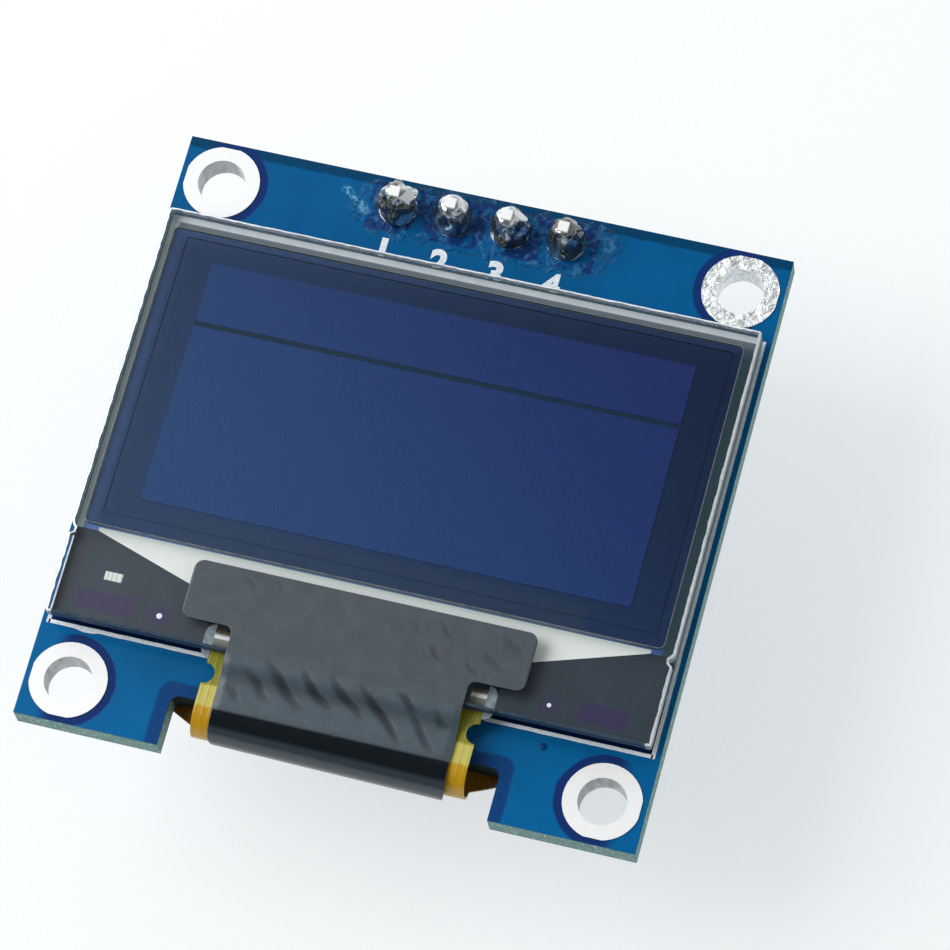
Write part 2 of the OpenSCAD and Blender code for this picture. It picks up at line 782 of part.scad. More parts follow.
module chip_terminals() {
    color([0.8, 0.81, 0.82]) {
        for (spot = resistor_spots) on_rear(spot) chip_ends(resistor_h);
        for (spot = capacitor_spots) on_rear(spot) chip_ends(capacitor_h);
    }
}

module resistor(i) {
    color([0.07, 0.07, 0.08]) on_rear(resistor_spots[i - 1]) chip_body(resistor_h);
}

module capacitor(i) {
    color([0.6, 0.48, 0.34]) on_rear(capacitor_spots[i - 1]) chip_body(capacitor_h);
}

// X of each lead and the side of the body that it leaves
function regulator_lead_spots() =
    [[-regulator_pitch / 2, -1], [regulator_pitch / 2, -1], [0, 1]];

// Section of the regulator's body across half its breadth or length
module regulator_section(half) {
    low = regulator_gap;
    high = regulator_gap + regulator_h;
    mid = (low + high) / 2;
    d = regulator_draft;
    polygon([[-half + d, low], [half - d, low], [half, mid - lead_t / 2],
             [half, mid + lead_t / 2], [half - d, high], [-half + d, high],
             [-half, mid + lead_t / 2], [-half, mid - lead_t / 2]]);
}

module regulator_body() {
    color([0.1, 0.1, 0.11]) on_rear(regulator_spot) intersection() {
        along_x(regulator_l) regulator_section(regulator_w / 2);
        along_y(regulator_w) regulator_section(regulator_l / 2);
    }
}

// Side view of one gull-wing lead from the body's parting line to the board
module lead_side() {
    mid = regulator_gap + regulator_h / 2;
    start = regulator_w / 2;
    end = start + lead_reach;
    knee = end - lead_foot - lead_t;
    polygon([[start, mid - lead_t / 2], [knee - lead_t, mid - lead_t / 2],
             [knee, 0], [end, 0], [end, lead_t], [knee + lead_t, lead_t],
             [knee, mid + lead_t / 2], [start, mid + lead_t / 2]]);
}

module regulator_leads() {
    color([0.8, 0.81, 0.82]) on_rear(regulator_spot) for (lead = regulator_lead_spots())
        translate([lead[0], 0, 0]) mirror([0, lead[1] < 0 ? 1 : 0, 0])
            along_x(lead_w) lead_side();
}

// ---- Nodes ----

pcb();
for (i = [1:hole_total])
    mount_lining(i);
for (i = [1:pin_total])
    header_pad(i);
header_body();
for (i = [1:pin_total])
    header_pin(i);
for (i = [1:pin_total])
    solder_joint(i);
panel_adhesive();
cap_glass();
getter_film();
seal_frame();
cathode_film();
upper_pixels();
lower_pixels();
electrode_film();
fan_leads();
substrate_glass();
polarizer();
driver_chip();
flex_circuit();
flex_mark(-1);  // flex_mark_left
flex_mark(1);  // flex_mark_right
resin_bead(-1);  // resin_bead_left
resin_bead(1);  // resin_bead_right
cover_tape();
flex_lands();
flex_solder();
chip_lands();
chip_terminals();
for (i = [1:len(resistor_spots)])
    resistor(i);
for (i = [1:len(capacitor_spots)])
    capacitor(i);
regulator_body();
regulator_leads();
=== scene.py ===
import logging
import math
import random
from dataclasses import dataclass, field
from enum import Enum

import bmesh
import bpy
from mathutils import Matrix, Vector, noise


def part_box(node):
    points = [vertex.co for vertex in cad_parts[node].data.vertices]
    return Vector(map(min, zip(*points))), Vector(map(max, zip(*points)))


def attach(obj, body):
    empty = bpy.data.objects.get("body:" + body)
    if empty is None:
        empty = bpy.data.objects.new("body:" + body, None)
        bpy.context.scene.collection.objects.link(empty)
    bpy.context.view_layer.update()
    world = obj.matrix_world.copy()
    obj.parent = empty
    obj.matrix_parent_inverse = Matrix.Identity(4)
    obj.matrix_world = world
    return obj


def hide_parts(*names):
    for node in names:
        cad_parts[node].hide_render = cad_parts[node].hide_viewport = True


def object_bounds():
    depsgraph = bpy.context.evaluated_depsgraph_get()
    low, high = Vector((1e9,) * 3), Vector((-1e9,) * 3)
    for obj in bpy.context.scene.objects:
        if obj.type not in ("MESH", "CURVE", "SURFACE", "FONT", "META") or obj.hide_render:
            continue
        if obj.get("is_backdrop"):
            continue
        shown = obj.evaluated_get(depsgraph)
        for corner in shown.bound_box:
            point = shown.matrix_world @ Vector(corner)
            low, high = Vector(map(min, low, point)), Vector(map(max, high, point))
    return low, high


# Looks of a small two-zone display module: board, header, glass panel, folded flexible circuit and tape.
# Lengths in this file are millimetres in the row's frame unless a name says otherwise, and become metres
# where a mesh is made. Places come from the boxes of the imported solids.

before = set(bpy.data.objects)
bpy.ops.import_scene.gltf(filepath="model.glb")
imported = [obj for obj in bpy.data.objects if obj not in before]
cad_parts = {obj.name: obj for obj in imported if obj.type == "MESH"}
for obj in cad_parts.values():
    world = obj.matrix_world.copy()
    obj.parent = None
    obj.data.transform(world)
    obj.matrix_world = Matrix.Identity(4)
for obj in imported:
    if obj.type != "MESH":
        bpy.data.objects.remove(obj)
MM = 0.001
LOG = logging.getLogger("display_module")
Socket = bpy.types.NodeSocket
Material = bpy.types.Material
Point = tuple[float, float]
Triple = tuple[float, float, float]
Colour = Triple


class Face(Enum):
    """The side of the board that a thing lies on, with the direction in which it stands out."""

    FRONT = 1.0
    REAR = -1.0


@dataclass(frozen=True)
class Extent:
    """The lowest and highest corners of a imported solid, in millimetres."""

    low: Vector
    high: Vector

    @classmethod
    def of(cls, node: str) -> "Extent":
        """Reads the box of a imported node."""
        low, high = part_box(node)
        return cls(Vector(low) / MM, Vector(high) / MM)

    @property
    def middle(self) -> Vector:
        """The centre of the extent."""
        return (self.low + self.high) / 2

    @property
    def size(self) -> Vector:
        """The edge lengths of the extent."""
        return self.high - self.low


# ---------------------------------------------------------------- node graphs


class Graph:
    """A material's node tree with short calls for the patterns that this object needs."""

    def __init__(self, name: str) -> None:
        """Makes an empty material.

        Args:
            name: Name of the material.
        """
        self.material: Material = bpy.data.materials.new(name)
        self.material.use_nodes = True
        self.start(self.material.node_tree, "ShaderNodeOutputMaterial")

    def start(self, tree: bpy.types.NodeTree, output: str) -> None:
        """Empties a node tree and gives it its output.

        Args:
            tree: Tree to draw in.
            output: Blender's name of the output node.
        """
        self.tree = tree
        self.tree.nodes.clear()
        self.output = self.tree.nodes.new(output)
        self._place: Socket | None = None

    def add(self, kind: str, **settings: object) -> bpy.types.Node:
        """Adds a node and sets its properties.

        Args:
            kind: Blender's name of the node type.
            **settings: Properties of the node.

        Returns:
            The new node.
        """
        node = self.tree.nodes.new(kind)
        for key, value in settings.items():
            setattr(node, key, value)
        return node

    def feed(self, target: Socket, value: object) -> None:
        """Links a socket or sets a plain value.

        Args:
            target: Input socket.
            value: A socket to link, or a number or tuple to set.
        """
        if isinstance(value, bpy.types.NodeSocket):
            self.tree.links.new(value, target)
        elif isinstance(value, tuple) and len(value) == 3 and target.type == "RGBA":
            target.default_value = (*value, 1.0)
        else:
            target.default_value = value

    @property
    def place(self) -> Socket:
        """The point on the object.

        Returns:
            The point in millimetres.
        """
        if self._place is None:
            coordinates = self.add("ShaderNodeTexCoord")
            scale = self.add("ShaderNodeVectorMath", operation="SCALE")
            self.feed(scale.inputs[0], coordinates.outputs["Object"])
            scale.inputs["Scale"].default_value = 1 / MM
            self._place = scale.outputs[0]
        return self._place

    def parts(self, vector: Socket | None = None) -> tuple[Socket, Socket, Socket]:
        """Splits a vector.

        Args:
            vector: The vector, by default the point on the object.

        Returns:
            Its X, Y and Z.
        """
        node = self.add("ShaderNodeSeparateXYZ")
        self.feed(node.inputs[0], vector or self.place)
        return node.outputs[0], node.outputs[1], node.outputs[2]

    def math(self, operation: str, a: object, b: object = 0.0, clamp: bool = False) -> Socket:
        """Puts two numbers together.

        Args:
            operation: Blender's name of the operation.
            a: First number or socket.
            b: Second number or socket.
            clamp: Whether the result is held between 0 and 1.

        Returns:
            The result.
        """
        node = self.add("ShaderNodeMath", operation=operation, use_clamp=clamp)
        self.feed(node.inputs[0], a)
        self.feed(node.inputs[1], b)
        return node.outputs[0]

    def times(self, a: object, b: object) -> Socket:
        """The product of two numbers."""
        return self.math("MULTIPLY", a, b)

    def plus(self, a: object, b: object) -> Socket:
        """The sum of two numbers."""
        return self.math("ADD", a, b)

    def less(self, a: object, b: object) -> Socket:
        """The first number less the second."""
        return self.math("SUBTRACT", a, b)

    def over(self, a: object, b: object) -> Socket:
        """The first number divided by the second."""
        return self.math("DIVIDE", a, b)

    def absolute(self, a: object) -> Socket:
        """A number without its sign."""
        return self.math("ABSOLUTE", a)

    def comb(self, value: object, pitch: float) -> Socket:
        """Distance from the middle of each pitch, from 0 to 0.5 of it."""
        return self.absolute(self.less(self.math("FRACT", self.over(value, pitch)), 0.5))

    def stretch(self, scale: Triple) -> Socket:
        """Multiplies the point on the object by a scale for each axis.

        Args:
            scale: The scale of X, Y and Z.

        Returns:
            The stretched point.
        """
        node = self.add("ShaderNodeVectorMath", operation="MULTIPLY")
        self.feed(node.inputs[0], self.place)
        node.inputs[1].default_value = scale
        return node.outputs[0]

    def noise(self, scale: float, detail: float = 3.0, rough: float = 0.5,
              vector: Socket | None = None, twist: float = 0.0) -> Socket:
        """Fractal noise about 0.5.

        Args:
            scale: Features for each millimetre.
            detail: Number of finer layers.
            rough: Weight of the finer layers.
            vector: Point to read, by default the point on the object.
            twist: How much the noise folds over itself.

        Returns:
            The noise.
        """
        node = self.add("ShaderNodeTexNoise")
        self.feed(node.inputs["Vector"], vector or self.place)
        node.inputs["Scale"].default_value = scale
        node.inputs["Detail"].default_value = detail
        node.inputs["Roughness"].default_value = rough
        node.inputs["Distortion"].default_value = twist
        return node.outputs[0]

    def step(self, value: Socket, low: float, high: float) -> Socket:
        """Rises smoothly from 0 at low to 1 at high, or falls where low is above high.

        Args:
            value: Number to read.
            low: Where the result is 0.
            high: Where the result is 1.

        Returns:
            The mask.
        """
        node = self.add("ShaderNodeMapRange", interpolation_type="SMOOTHSTEP")
        flip = low > high
        self.feed(node.inputs[0], value)
        node.inputs[1].default_value = min(low, high)
        node.inputs[2].default_value = max(low, high)
        node.inputs[3].default_value = 1.0 if flip else 0.0
        node.inputs[4].default_value = 0.0 if flip else 1.0
        return node.outputs[0]

    def window(self, value: Socket, low: float, high: float, soft: float) -> Socket:
        """Is 1 between low and high, with soft flanks outside them."""
        return self.times(self.step(value, low - soft, low),
                         self.step(value, high + soft, high))

    def patch(self, x: Point, y: Point, soft: float) -> Socket:
        """Is 1 inside a rectangle of the board's plane.

        Args:
            x: Lowest and highest X.
            y: Lowest and highest Y.
            soft: Width of the blurred flank.

        Returns:
            The mask.
        """
        px, py, _ = self.parts()
        return self.times(self.window(px, x[0], x[1], soft),
                         self.window(py, y[0], y[1], soft))

    def reach(self, x: float, y: float, mirrored: bool = False) -> Socket:
        """Distance in the board's plane from a point, or from its four mirror images.

        Args:
            x: X of the point.
            y: Y of the point.
            mirrored: Whether the images in both axes count.

        Returns:
            The distance in millimetres.
        """
        px, py, _ = self.parts()
        if mirrored:
            px, py = self.absolute(px), self.absolute(py)
        dx, dy = self.less(px, x), self.less(py, y)
        square = self.plus(self.times(dx, dx), self.times(dy, dy))
        return self.math("SQRT", square)

    def either(self, *masks: Socket) -> Socket:
        """Takes the greatest of several masks.

        Args:
            *masks: The masks.

        Returns:
            The greatest.
        """
        result = masks[0]
        for mask in masks[1:]:
            result = self.math("MAXIMUM", result, mask)
        return result

    def blend(self, share: object, a: object, b: object) -> Socket:
        """Mixes two colours.

        Args:
            share: How much of the second colour shows.
            a: First colour or socket.
            b: Second colour or socket.

        Returns:
            The mixed colour.
        """
        node = self.add("ShaderNodeMix", data_type="RGBA")
        self.feed(node.inputs[0], share)
        self.feed(node.inputs[6], a)
        self.feed(node.inputs[7], b)
        return node.outputs[2]

    def lerp(self, share: object, a: object, b: object) -> Socket:
        """Mixes two numbers.

        Args:
            share: How much of the second number shows.
            a: First number or socket.
            b: Second number or socket.

        Returns:
            The mixed number.
        """
        node = self.add("ShaderNodeMix", data_type="FLOAT")
        self.feed(node.inputs[0], share)
        self.feed(node.inputs[2], a)
        self.feed(node.inputs[3], b)
        return node.outputs[0]

    def bump(self, height: Socket, depth: float, strength: float = 1.0,
             under: Socket | None = None) -> Socket:
        """Tilts the surface as a relief would.

        Args:
            height: Relief from 0 to 1.
            depth: Its depth in millimetres.
            strength: Share of the tilt.
            under: Normal of a coarser relief beneath.

        Returns:
            The normal.
        """
        node = self.add("ShaderNodeBump")
        node.inputs["Strength"].default_value = strength
        node.inputs["Distance"].default_value = depth * MM
        self.feed(node.inputs["Height"], height)
        if under is not None:
            self.feed(node.inputs["Normal"], under)
        return node.outputs[0]

    def edge_on(self) -> Socket:
        """Tells upright surfaces from flat ones.

        Returns:
            1 where the surface stands upright on the board, 0 where it lies flat.
        """
        geometry = self.add("ShaderNodeNewGeometry")
        _, _, nz = self.parts(geometry.outputs["True Normal"])
        return self.step(self.absolute(nz), 0.7, 0.3)

    def solid(self, **inputs: object) -> Socket:
        """A Principled shader.

        Args:
            **inputs: Its inputs, with underscores for the spaces of their names.

        Returns:
            The shader.
        """
        node = self.add("ShaderNodeBsdfPrincipled")
        for key, value in inputs.items():
            self.feed(node.inputs[key.replace("_", " ")], value)
        return node.outputs[0]

    def finish(self, shader: Socket) -> Material:
        """Sends a shader to the surface and hands the material back."""
        self.tree.links.new(shader, self.output.inputs["Surface"])
        return self.material


class SkyGraph(Graph):
    """The surround's node tree, in which a place is a direction."""

    def __init__(self, name: str) -> None:
        """Makes an empty surround.

        Args:
            name: Name of the world.
        """
        self.world = bpy.data.worlds.new(name)
        self.world.use_nodes = True
        self.start(self.world.node_tree, "ShaderNodeOutputWorld")

    @property
    def place(self) -> Socket:
        """The direction of view.

        Returns:
            The direction, a vector of length 1.
        """
        if self._place is None:
            self._place = self.add("ShaderNodeTexCoord").outputs["Generated"]
        return self._place


# ---------------------------------------------------------------- finishes


@dataclass(frozen=True)
class SolderMask:
    """Glossy blue mask over copper, with bare laminate on the board's edges and painted shade: darker
    towards the top, under the glass ledge and on the notch's walls.
    """

    copper_blue: Colour = (0.0, 0.125, 0.335)
    violet: Colour = (0.006, 0.03, 0.15)
    laminate: Colour = (0.32, 0.52, 0.5)

    def build(self, board: Extent, hole: Point, notch: Point, pins: Extent,
              glass_edge: float) -> Material:
        """Paints the copper's outline into the mask.

        Args:
            board: Extent of the board.
            hole: Centre of the upper right mounting hole.
            notch: Half width of the notch and the height of its inner edge.
            pins: Extent of the row of header pads.
            glass_edge: Height of the panel's lower edge.

        Returns:
            The material.
        """
        g = Graph("blue_solder_mask")
        x, y, z = g.parts()
        wide = g.absolute(x)
        front = g.step(z, 0.3, 0.9)
        rear = g.less(1.0, front)
        wander = g.times(g.less(g.noise(0.9, 4, 0.6), 0.5), 0.2)
        moat = g.window(g.plus(g.reach(hole[0], hole[1], mirrored=True), wander), 1.6, 2.02, 0.1)
        moat = g.times(moat, g.step(wide, 12.9, 12.0))
        top_rim = g.step(g.plus(y, wander), board.high.y - 0.52, board.high.y - 0.4)
        corner = g.math("MAXIMUM", g.less(wide, notch[0]), 0.0)
        drop = g.math("MAXIMUM", g.less(y, notch[1]), 0.0)
        away = g.math("SQRT", g.plus(g.times(corner, corner), g.times(drop, drop)))
        slot = g.times(g.step(g.plus(away, wander), 0.66, 0.5), 0.75)
        pad_zone = g.patch((pins.low.x - 0.38, pins.high.x + 0.5),
                           (pins.low.y - 0.3, pins.high.y + 0.12), 0.12)
        pad_zone = g.times(pad_zone, front)
        tracks = g.times(self.tracks(g), rear)
        cloud = g.noise(0.35, 3, 0.55)
        colour = g.blend(g.step(cloud, 0.35, 0.68), self.copper_blue,
                         tuple(c * 0.86 for c in self.copper_blue))
        # Painted shade: the mask darkens smoothly towards the top of the board.
        painted_shade_slope = g.step(g.less(y, g.times(x, 0.2)), -12.0, 13.0)
        colour = g.blend(g.times(painted_shade_slope, 0.3), colour, (0.0, 0.06, 0.2))
        colour = g.blend(g.either(top_rim, tracks), colour, (0.0, 0.05, 0.13))
        colour = g.blend(g.either(moat, slot), colour, self.violet)
        # Painted shadow: a dark band on the board under the overhanging glass ledge.
        painted_ledge_shadow = g.times(g.patch((-13.2, 13.25), (glass_edge + 0.07, glass_edge + 2.0), 0.04), front)
        colour = g.blend(painted_ledge_shadow, colour, (0.0, 0.012, 0.05))
        speck = g.step(g.noise(6.0, 2, 0.7), 0.7, 0.78)
        colour = g.blend(g.times(speck, 0.2), colour, (0.02, 0.2, 0.42))
        patches = g.step(g.noise(0.9, 4, 0.6, twist=0.9), 0.44, 0.52)
        colour = g.blend(g.times(g.times(pad_zone, patches), 0.9), colour, self.violet)
        flux, relief = self.flux(g, pins)
        flux, relief = g.times(flux, front), g.times(relief, front)
        pale = g.times(flux, g.step(g.noise(1.7, 5, 0.62, twist=1.5), 0.52, 0.66))
        colour = g.blend(g.times(pale, 0.7), colour, (0.05, 0.2, 0.42))
        colour = g.blend(g.times(self.feather(g, pins), front), colour, (0.16, 0.42, 0.62))
        side = g.edge_on()
        fibre = g.noise(3.0, 5, 0.7, g.stretch((1.0, 1.0, 9.0)))
        chips = g.noise(5.5, 4, 0.75)
        wood = g.blend(g.step(fibre, 0.35, 0.62), self.laminate, (0.12, 0.26, 0.26))
        wood = g.blend(g.step(chips, 0.54, 0.64), wood, (0.62, 0.74, 0.68))
        skin = g.either(g.step(z, 0.1, 0.04), g.step(z, board.high.z - 0.12, board.high.z - 0.06))
        wood = g.blend(skin, wood, (0.01, 0.16, 0.3))
        # Painted shade: the board's cut walls inside the notch are darkened.
        inner = g.times(g.step(wide, notch[0] + 0.05, notch[0] - 0.1),
                        g.step(y, notch[1] - 0.7, notch[1] - 0.2))
        wood = g.blend(inner, wood, (0.01, 0.03, 0.03))
        colour = g.blend(side, colour, wood)
        ripple = g.noise(1.1, 4, 0.55)
        edges = g.either(moat, slot, top_rim, tracks)
        height = g.plus(g.times(edges, -0.35), g.times(ripple, 0.35))
        normal = g.bump(height, 0.02, 0.6)
        normal = g.bump(relief, 0.09, 0.9, normal)
        normal = g.bump(g.times(chips, side), 0.1, 1.0, normal)
        rough = g.lerp(side, g.lerp(flux, 0.2, 0.07), 0.72)
        return g.finish(g.solid(Base_Color=colour, Roughness=rough, Normal=normal,
                                Specular_IOR_Level=0.16))

    def tracks(self, g: Graph) -> Socket:
        """Gaps between the copper tracks behind the display, as fine lines in two directions.

        Args:
            g: Graph to draw in.

        Returns:
            The mask.
        """
        x, y, _ = g.parts()
        fan = g.comb(x, 0.62)
        fan = g.times(g.step(fan, 0.3, 0.38), g.patch((-9.2, 9.2), (-6.4, -5.6), 0.1))
        rows = g.comb(y, 0.7)
        rows = g.times(g.step(rows, 0.4, 0.46), g.patch((-4.2, 1.6), (-1.8, 6.0), 0.1))
        frame = g.patch((-7.4, 4.2), (-2.4, 6.6), 0.05)
        inner = g.patch((-7.15, 3.95), (-2.15, 6.35), 0.05)
        frame = g.math("SUBTRACT", frame, inner, clamp=True)
        return g.either(fan, rows, frame)

    def flux(self, g: Graph, pins: Extent) -> tuple[Socket, Socket]:
        """Dried flux round the soldered pins.

        Args:
            g: Graph to draw in.
            pins: Extent of the row of header pads.

        Returns:
            A mask and a relief.
        """
        middle = pins.middle
        px, py, _ = g.parts()
        dx = g.over(g.less(px, middle.x + 0.2), pins.size.x / 2 + 1.5)
        dy = g.over(g.less(py, middle.y - 0.1), 1.45)
        dx = g.times(dx, g.times(dx, dx))
        reach = g.plus(g.times(dx, dx), g.times(dy, dy))
        ragged = g.times(g.less(g.noise(1.3, 5, 0.6, twist=0.7), 0.5), 2.2)
        inside = g.less(g.less(1.0, reach), ragged)
        mask = g.step(inside, 0.1, 0.35)
        folds = g.noise(1.5, 4, 0.55, twist=1.6)
        return mask, g.times(mask, g.plus(folds, 0.3))

    def feather(self, g: Graph, pins: Extent) -> Socket:
        """A feathered streak of dried flux beside the first pin.

        Args:
            g: Graph to draw in.
            pins: Extent of the row of header pads.

        Returns:
            The mask.
        """
        x, y, _ = g.parts()
        dx = g.less(x, pins.low.x - 1.05)
        dy = g.less(y, pins.middle.y - 0.02)
        along = g.plus(g.times(dx, 0.8), g.times(dy, -0.6))
        across = g.plus(g.times(dx, 0.6), g.times(dy, 0.8))
        rough = g.times(g.less(g.noise(3.2, 5, 0.7), 0.5), 0.5)
        body = g.times(g.window(along, -0.75, 0.65, 0.2),
                      g.step(g.absolute(g.plus(across, rough)), 0.24, 0.05))
        return g.times(body, g.step(g.noise(7.0, 4, 0.7), 0.42, 0.6))


@dataclass(frozen=True)
class TinnedCopper:
    """Plated metal: smooth near-white tin, or mottled where the solder has gone dull, with painted shade
    on upright walls where asked.
    """

    name: str
    colour: Colour = (0.9, 0.91, 0.91)
    dull: Colour = (0.42, 0.43, 0.42)
    mottle: float = 0.0
    roughness: float = 0.3
    metallic: float = 1.0
    dark_barrel: float = 0.0

    def build(self) -> Material:
        """Builds the material.

        Returns:
            The material.
        """
        g = Graph(self.name)
        grain = g.noise(4.5, 5, 0.68)
        pits = g.step(g.noise(3.4, 4, 0.62, twist=0.4), 0.5, 0.58)
        spots = g.step(g.noise(9.0, 3, 0.6), 0.6, 0.7)
        shade = g.times(g.either(pits, spots), self.mottle)
        colour = g.blend(shade, self.colour, self.dull)
        colour = g.blend(g.times(g.step(grain, 0.45, 0.7), 0.12), colour, (0.6, 0.62, 0.64))
        # Painted shade: upright walls, such as the plated holes' barrels, are darkened with streaked
        # greys.
        streaks = g.noise(2.0, 4, 0.6, g.stretch((1.0, 1.0, 0.25)))
        barrel_shade_colour = g.blend(g.step(streaks, 0.35, 0.65), (0.5, 0.52, 0.54), (0.2, 0.22, 0.24))
        wall = g.edge_on()
        colour = g.blend(g.times(wall, self.dark_barrel), colour, barrel_shade_colour)
        normal = g.bump(grain, 0.02, 0.3)
        if self.mottle:
            lumps = g.noise(2.6, 5, 0.6, twist=0.6)
            normal = g.bump(lumps, 0.16, 0.7, normal)
        rough = g.lerp(grain, self.roughness * 0.8, self.roughness * 1.25)
        return g.finish(g.solid(Base_Color=colour, Metallic=self.metallic, Roughness=rough, Normal=normal))


@dataclass(frozen=True)
class Moulding:
    """Dark moulded plastic with a fine spark-eroded skin."""

    name: str
    colour: Colour = (0.018, 0.018, 0.02)
    roughness: float = 0.45
    grain: float = 0.01

    def build(self) -> Material:
        """Builds the material.

        Returns:
            The material.
        """
        g = Graph(self.name)
        fine = g.noise(14.0, 3, 0.6)
        broad = g.noise(0.8, 3, 0.5)
        pale = tuple(min(1.0, c * 1.6 + 0.004) for c in self.colour)
        colour = g.blend(g.step(broad, 0.35, 0.7), self.colour, pale)
        rough = g.lerp(fine, self.roughness * 0.85, self.roughness * 1.2)
        normal = g.bump(fine, self.grain, 0.5)
        return g.finish(g.solid(Base_Color=colour, Roughness=rough, Normal=normal))


@dataclass(frozen=True)
class DrawnPin:
    """Square drawn wire with plating that shows its length-wise lines and a bright sheared end."""

    colour: Colour = (0.83, 0.78, 0.62)

    def build(self) -> Material:
        """Builds the material.

        Returns:
            The material.
        """
        g = Graph("plated_pin")
        lines = g.noise(9.0, 4, 0.6, g.stretch((1.0, 1.0, 0.12)))
        stain = g.noise(1.4, 3, 0.6)
        _, _, z = g.parts()
        tip = g.step(z, 1.6, 2.4)
        colour = g.blend(g.step(stain, 0.4, 0.7), self.colour, (0.66, 0.56, 0.36))
        colour = g.blend(tip, colour, (0.97, 0.97, 0.96))
        normal = g.bump(lines, 0.01, 0.35)
        rough = g.lerp(tip, g.lerp(lines, 0.2, 0.34), 0.5)
        metal = g.lerp(tip, 1.0, 0.35)
        return g.finish(g.solid(Base_Color=colour, Metallic=metal, Roughness=rough, Normal=normal))


@dataclass(frozen=True)
class Solder:
    """Bright solder with dark, glassy flux in its folds."""

    colour: Colour = (0.62, 0.66, 0.68)
    flux: Colour = (0.03, 0.035, 0.03)

    def build(self) -> Material:
        """Builds the material.

        Returns:
            The material.
        """
        g = Graph("bright_solder")
        folds = g.noise(1.0, 2, 0.45, twist=1.2)
        stain = g.step(g.noise(0.8, 2, 0.45, twist=0.8), 0.42, 0.52)
        colour = g.blend(g.times(stain, 0.8), self.colour, self.flux)
        amber = g.step(g.noise(0.9, 2, 0.5), 0.52, 0.66)
        colour = g.blend(g.times(amber, 0.12), colour, (0.4, 0.37, 0.22))
        normal = g.bump(folds, 0.16, 0.7)
        rough = g.lerp(stain, 0.1, 0.06)
        return g.finish(g.solid(Base_Color=colour, Metallic=0.9, Roughness=rough, Normal=normal))


@dataclass(frozen=True)
class PrintedLayer:
    """One printed or deposited layer behind glass: two tones, a fine grain and a soft gloss."""

    name: str
    colour: Colour
    second: Colour
    grain: float = 9.0
    roughness: float = 0.4

    def build(self) -> Material:
        """Builds the material.

        Returns:
            The material.
        """
        g = Graph(self.name)
        fine = g.noise(self.grain, 2, 0.6)
        broad = g.noise(0.25, 2, 0.5)
        share = g.lerp(0.5, g.step(broad, 0.35, 0.65), g.step(fine, 0.3, 0.7))
        colour = g.blend(share, self.colour, self.second)
        return g.finish(g.solid(Base_Color=colour, Roughness=self.roughness))


@dataclass(frozen=True)
class PixelRows:
    """Unlit rows of dots: a grid that is only just seen, with a painted light slope that is paler at the
    lower left and deeper towards the upper right.
    """

    near: Colour = (0.12, 0.35, 1.0)
    far: Colour = (0.09, 0.175, 0.76)
    pitch: float = 0.17

    def build(self, lit: Extent) -> Material:
        """Builds the material.

        Args:
            lit: Extent of the lit area.

        Returns:
            The material.
        """
        g = Graph("unlit_pixels")
        x, y, _ = g.parts()
        gaps = []
        for axis, origin in ((x, lit.low.x), (y, lit.low.y)):
            gaps.append(g.step(g.comb(g.less(axis, origin), self.pitch), 0.36, 0.46))
        # Painted light: near is the lit colour at the lower left, far the shaded one at the upper right.
        colour = g.blend(slope_across(g, lit), self.near, self.far)
        grain = g.noise(7.0, 2, 0.7)
        colour = g.blend(g.times(grain, 0.2), colour, (0.03, 0.07, 0.2))
        colour = g.blend(g.times(g.either(*gaps), 0.25), colour, (0.03, 0.06, 0.2))
        return g.finish(g.solid(Base_Color=colour, Roughness=0.35))


def slope_across(g: Graph, area: Extent) -> Socket:
    """Rises from 0 at an area's lower left corner to 1 at its upper right, for a painted light slope.

    Args:
        g: Graph to draw in.
        area: The area.

    Returns:
        The slope.
    """
    x, y, _ = g.parts()
    across = g.over(g.less(x, area.low.x), area.size.x)
    up = g.over(g.less(y, area.low.y), area.size.y)
    mean = g.plus(g.times(across, 0.6), g.times(up, 0.4))
    return g.step(mean, 0.05, 1.0)


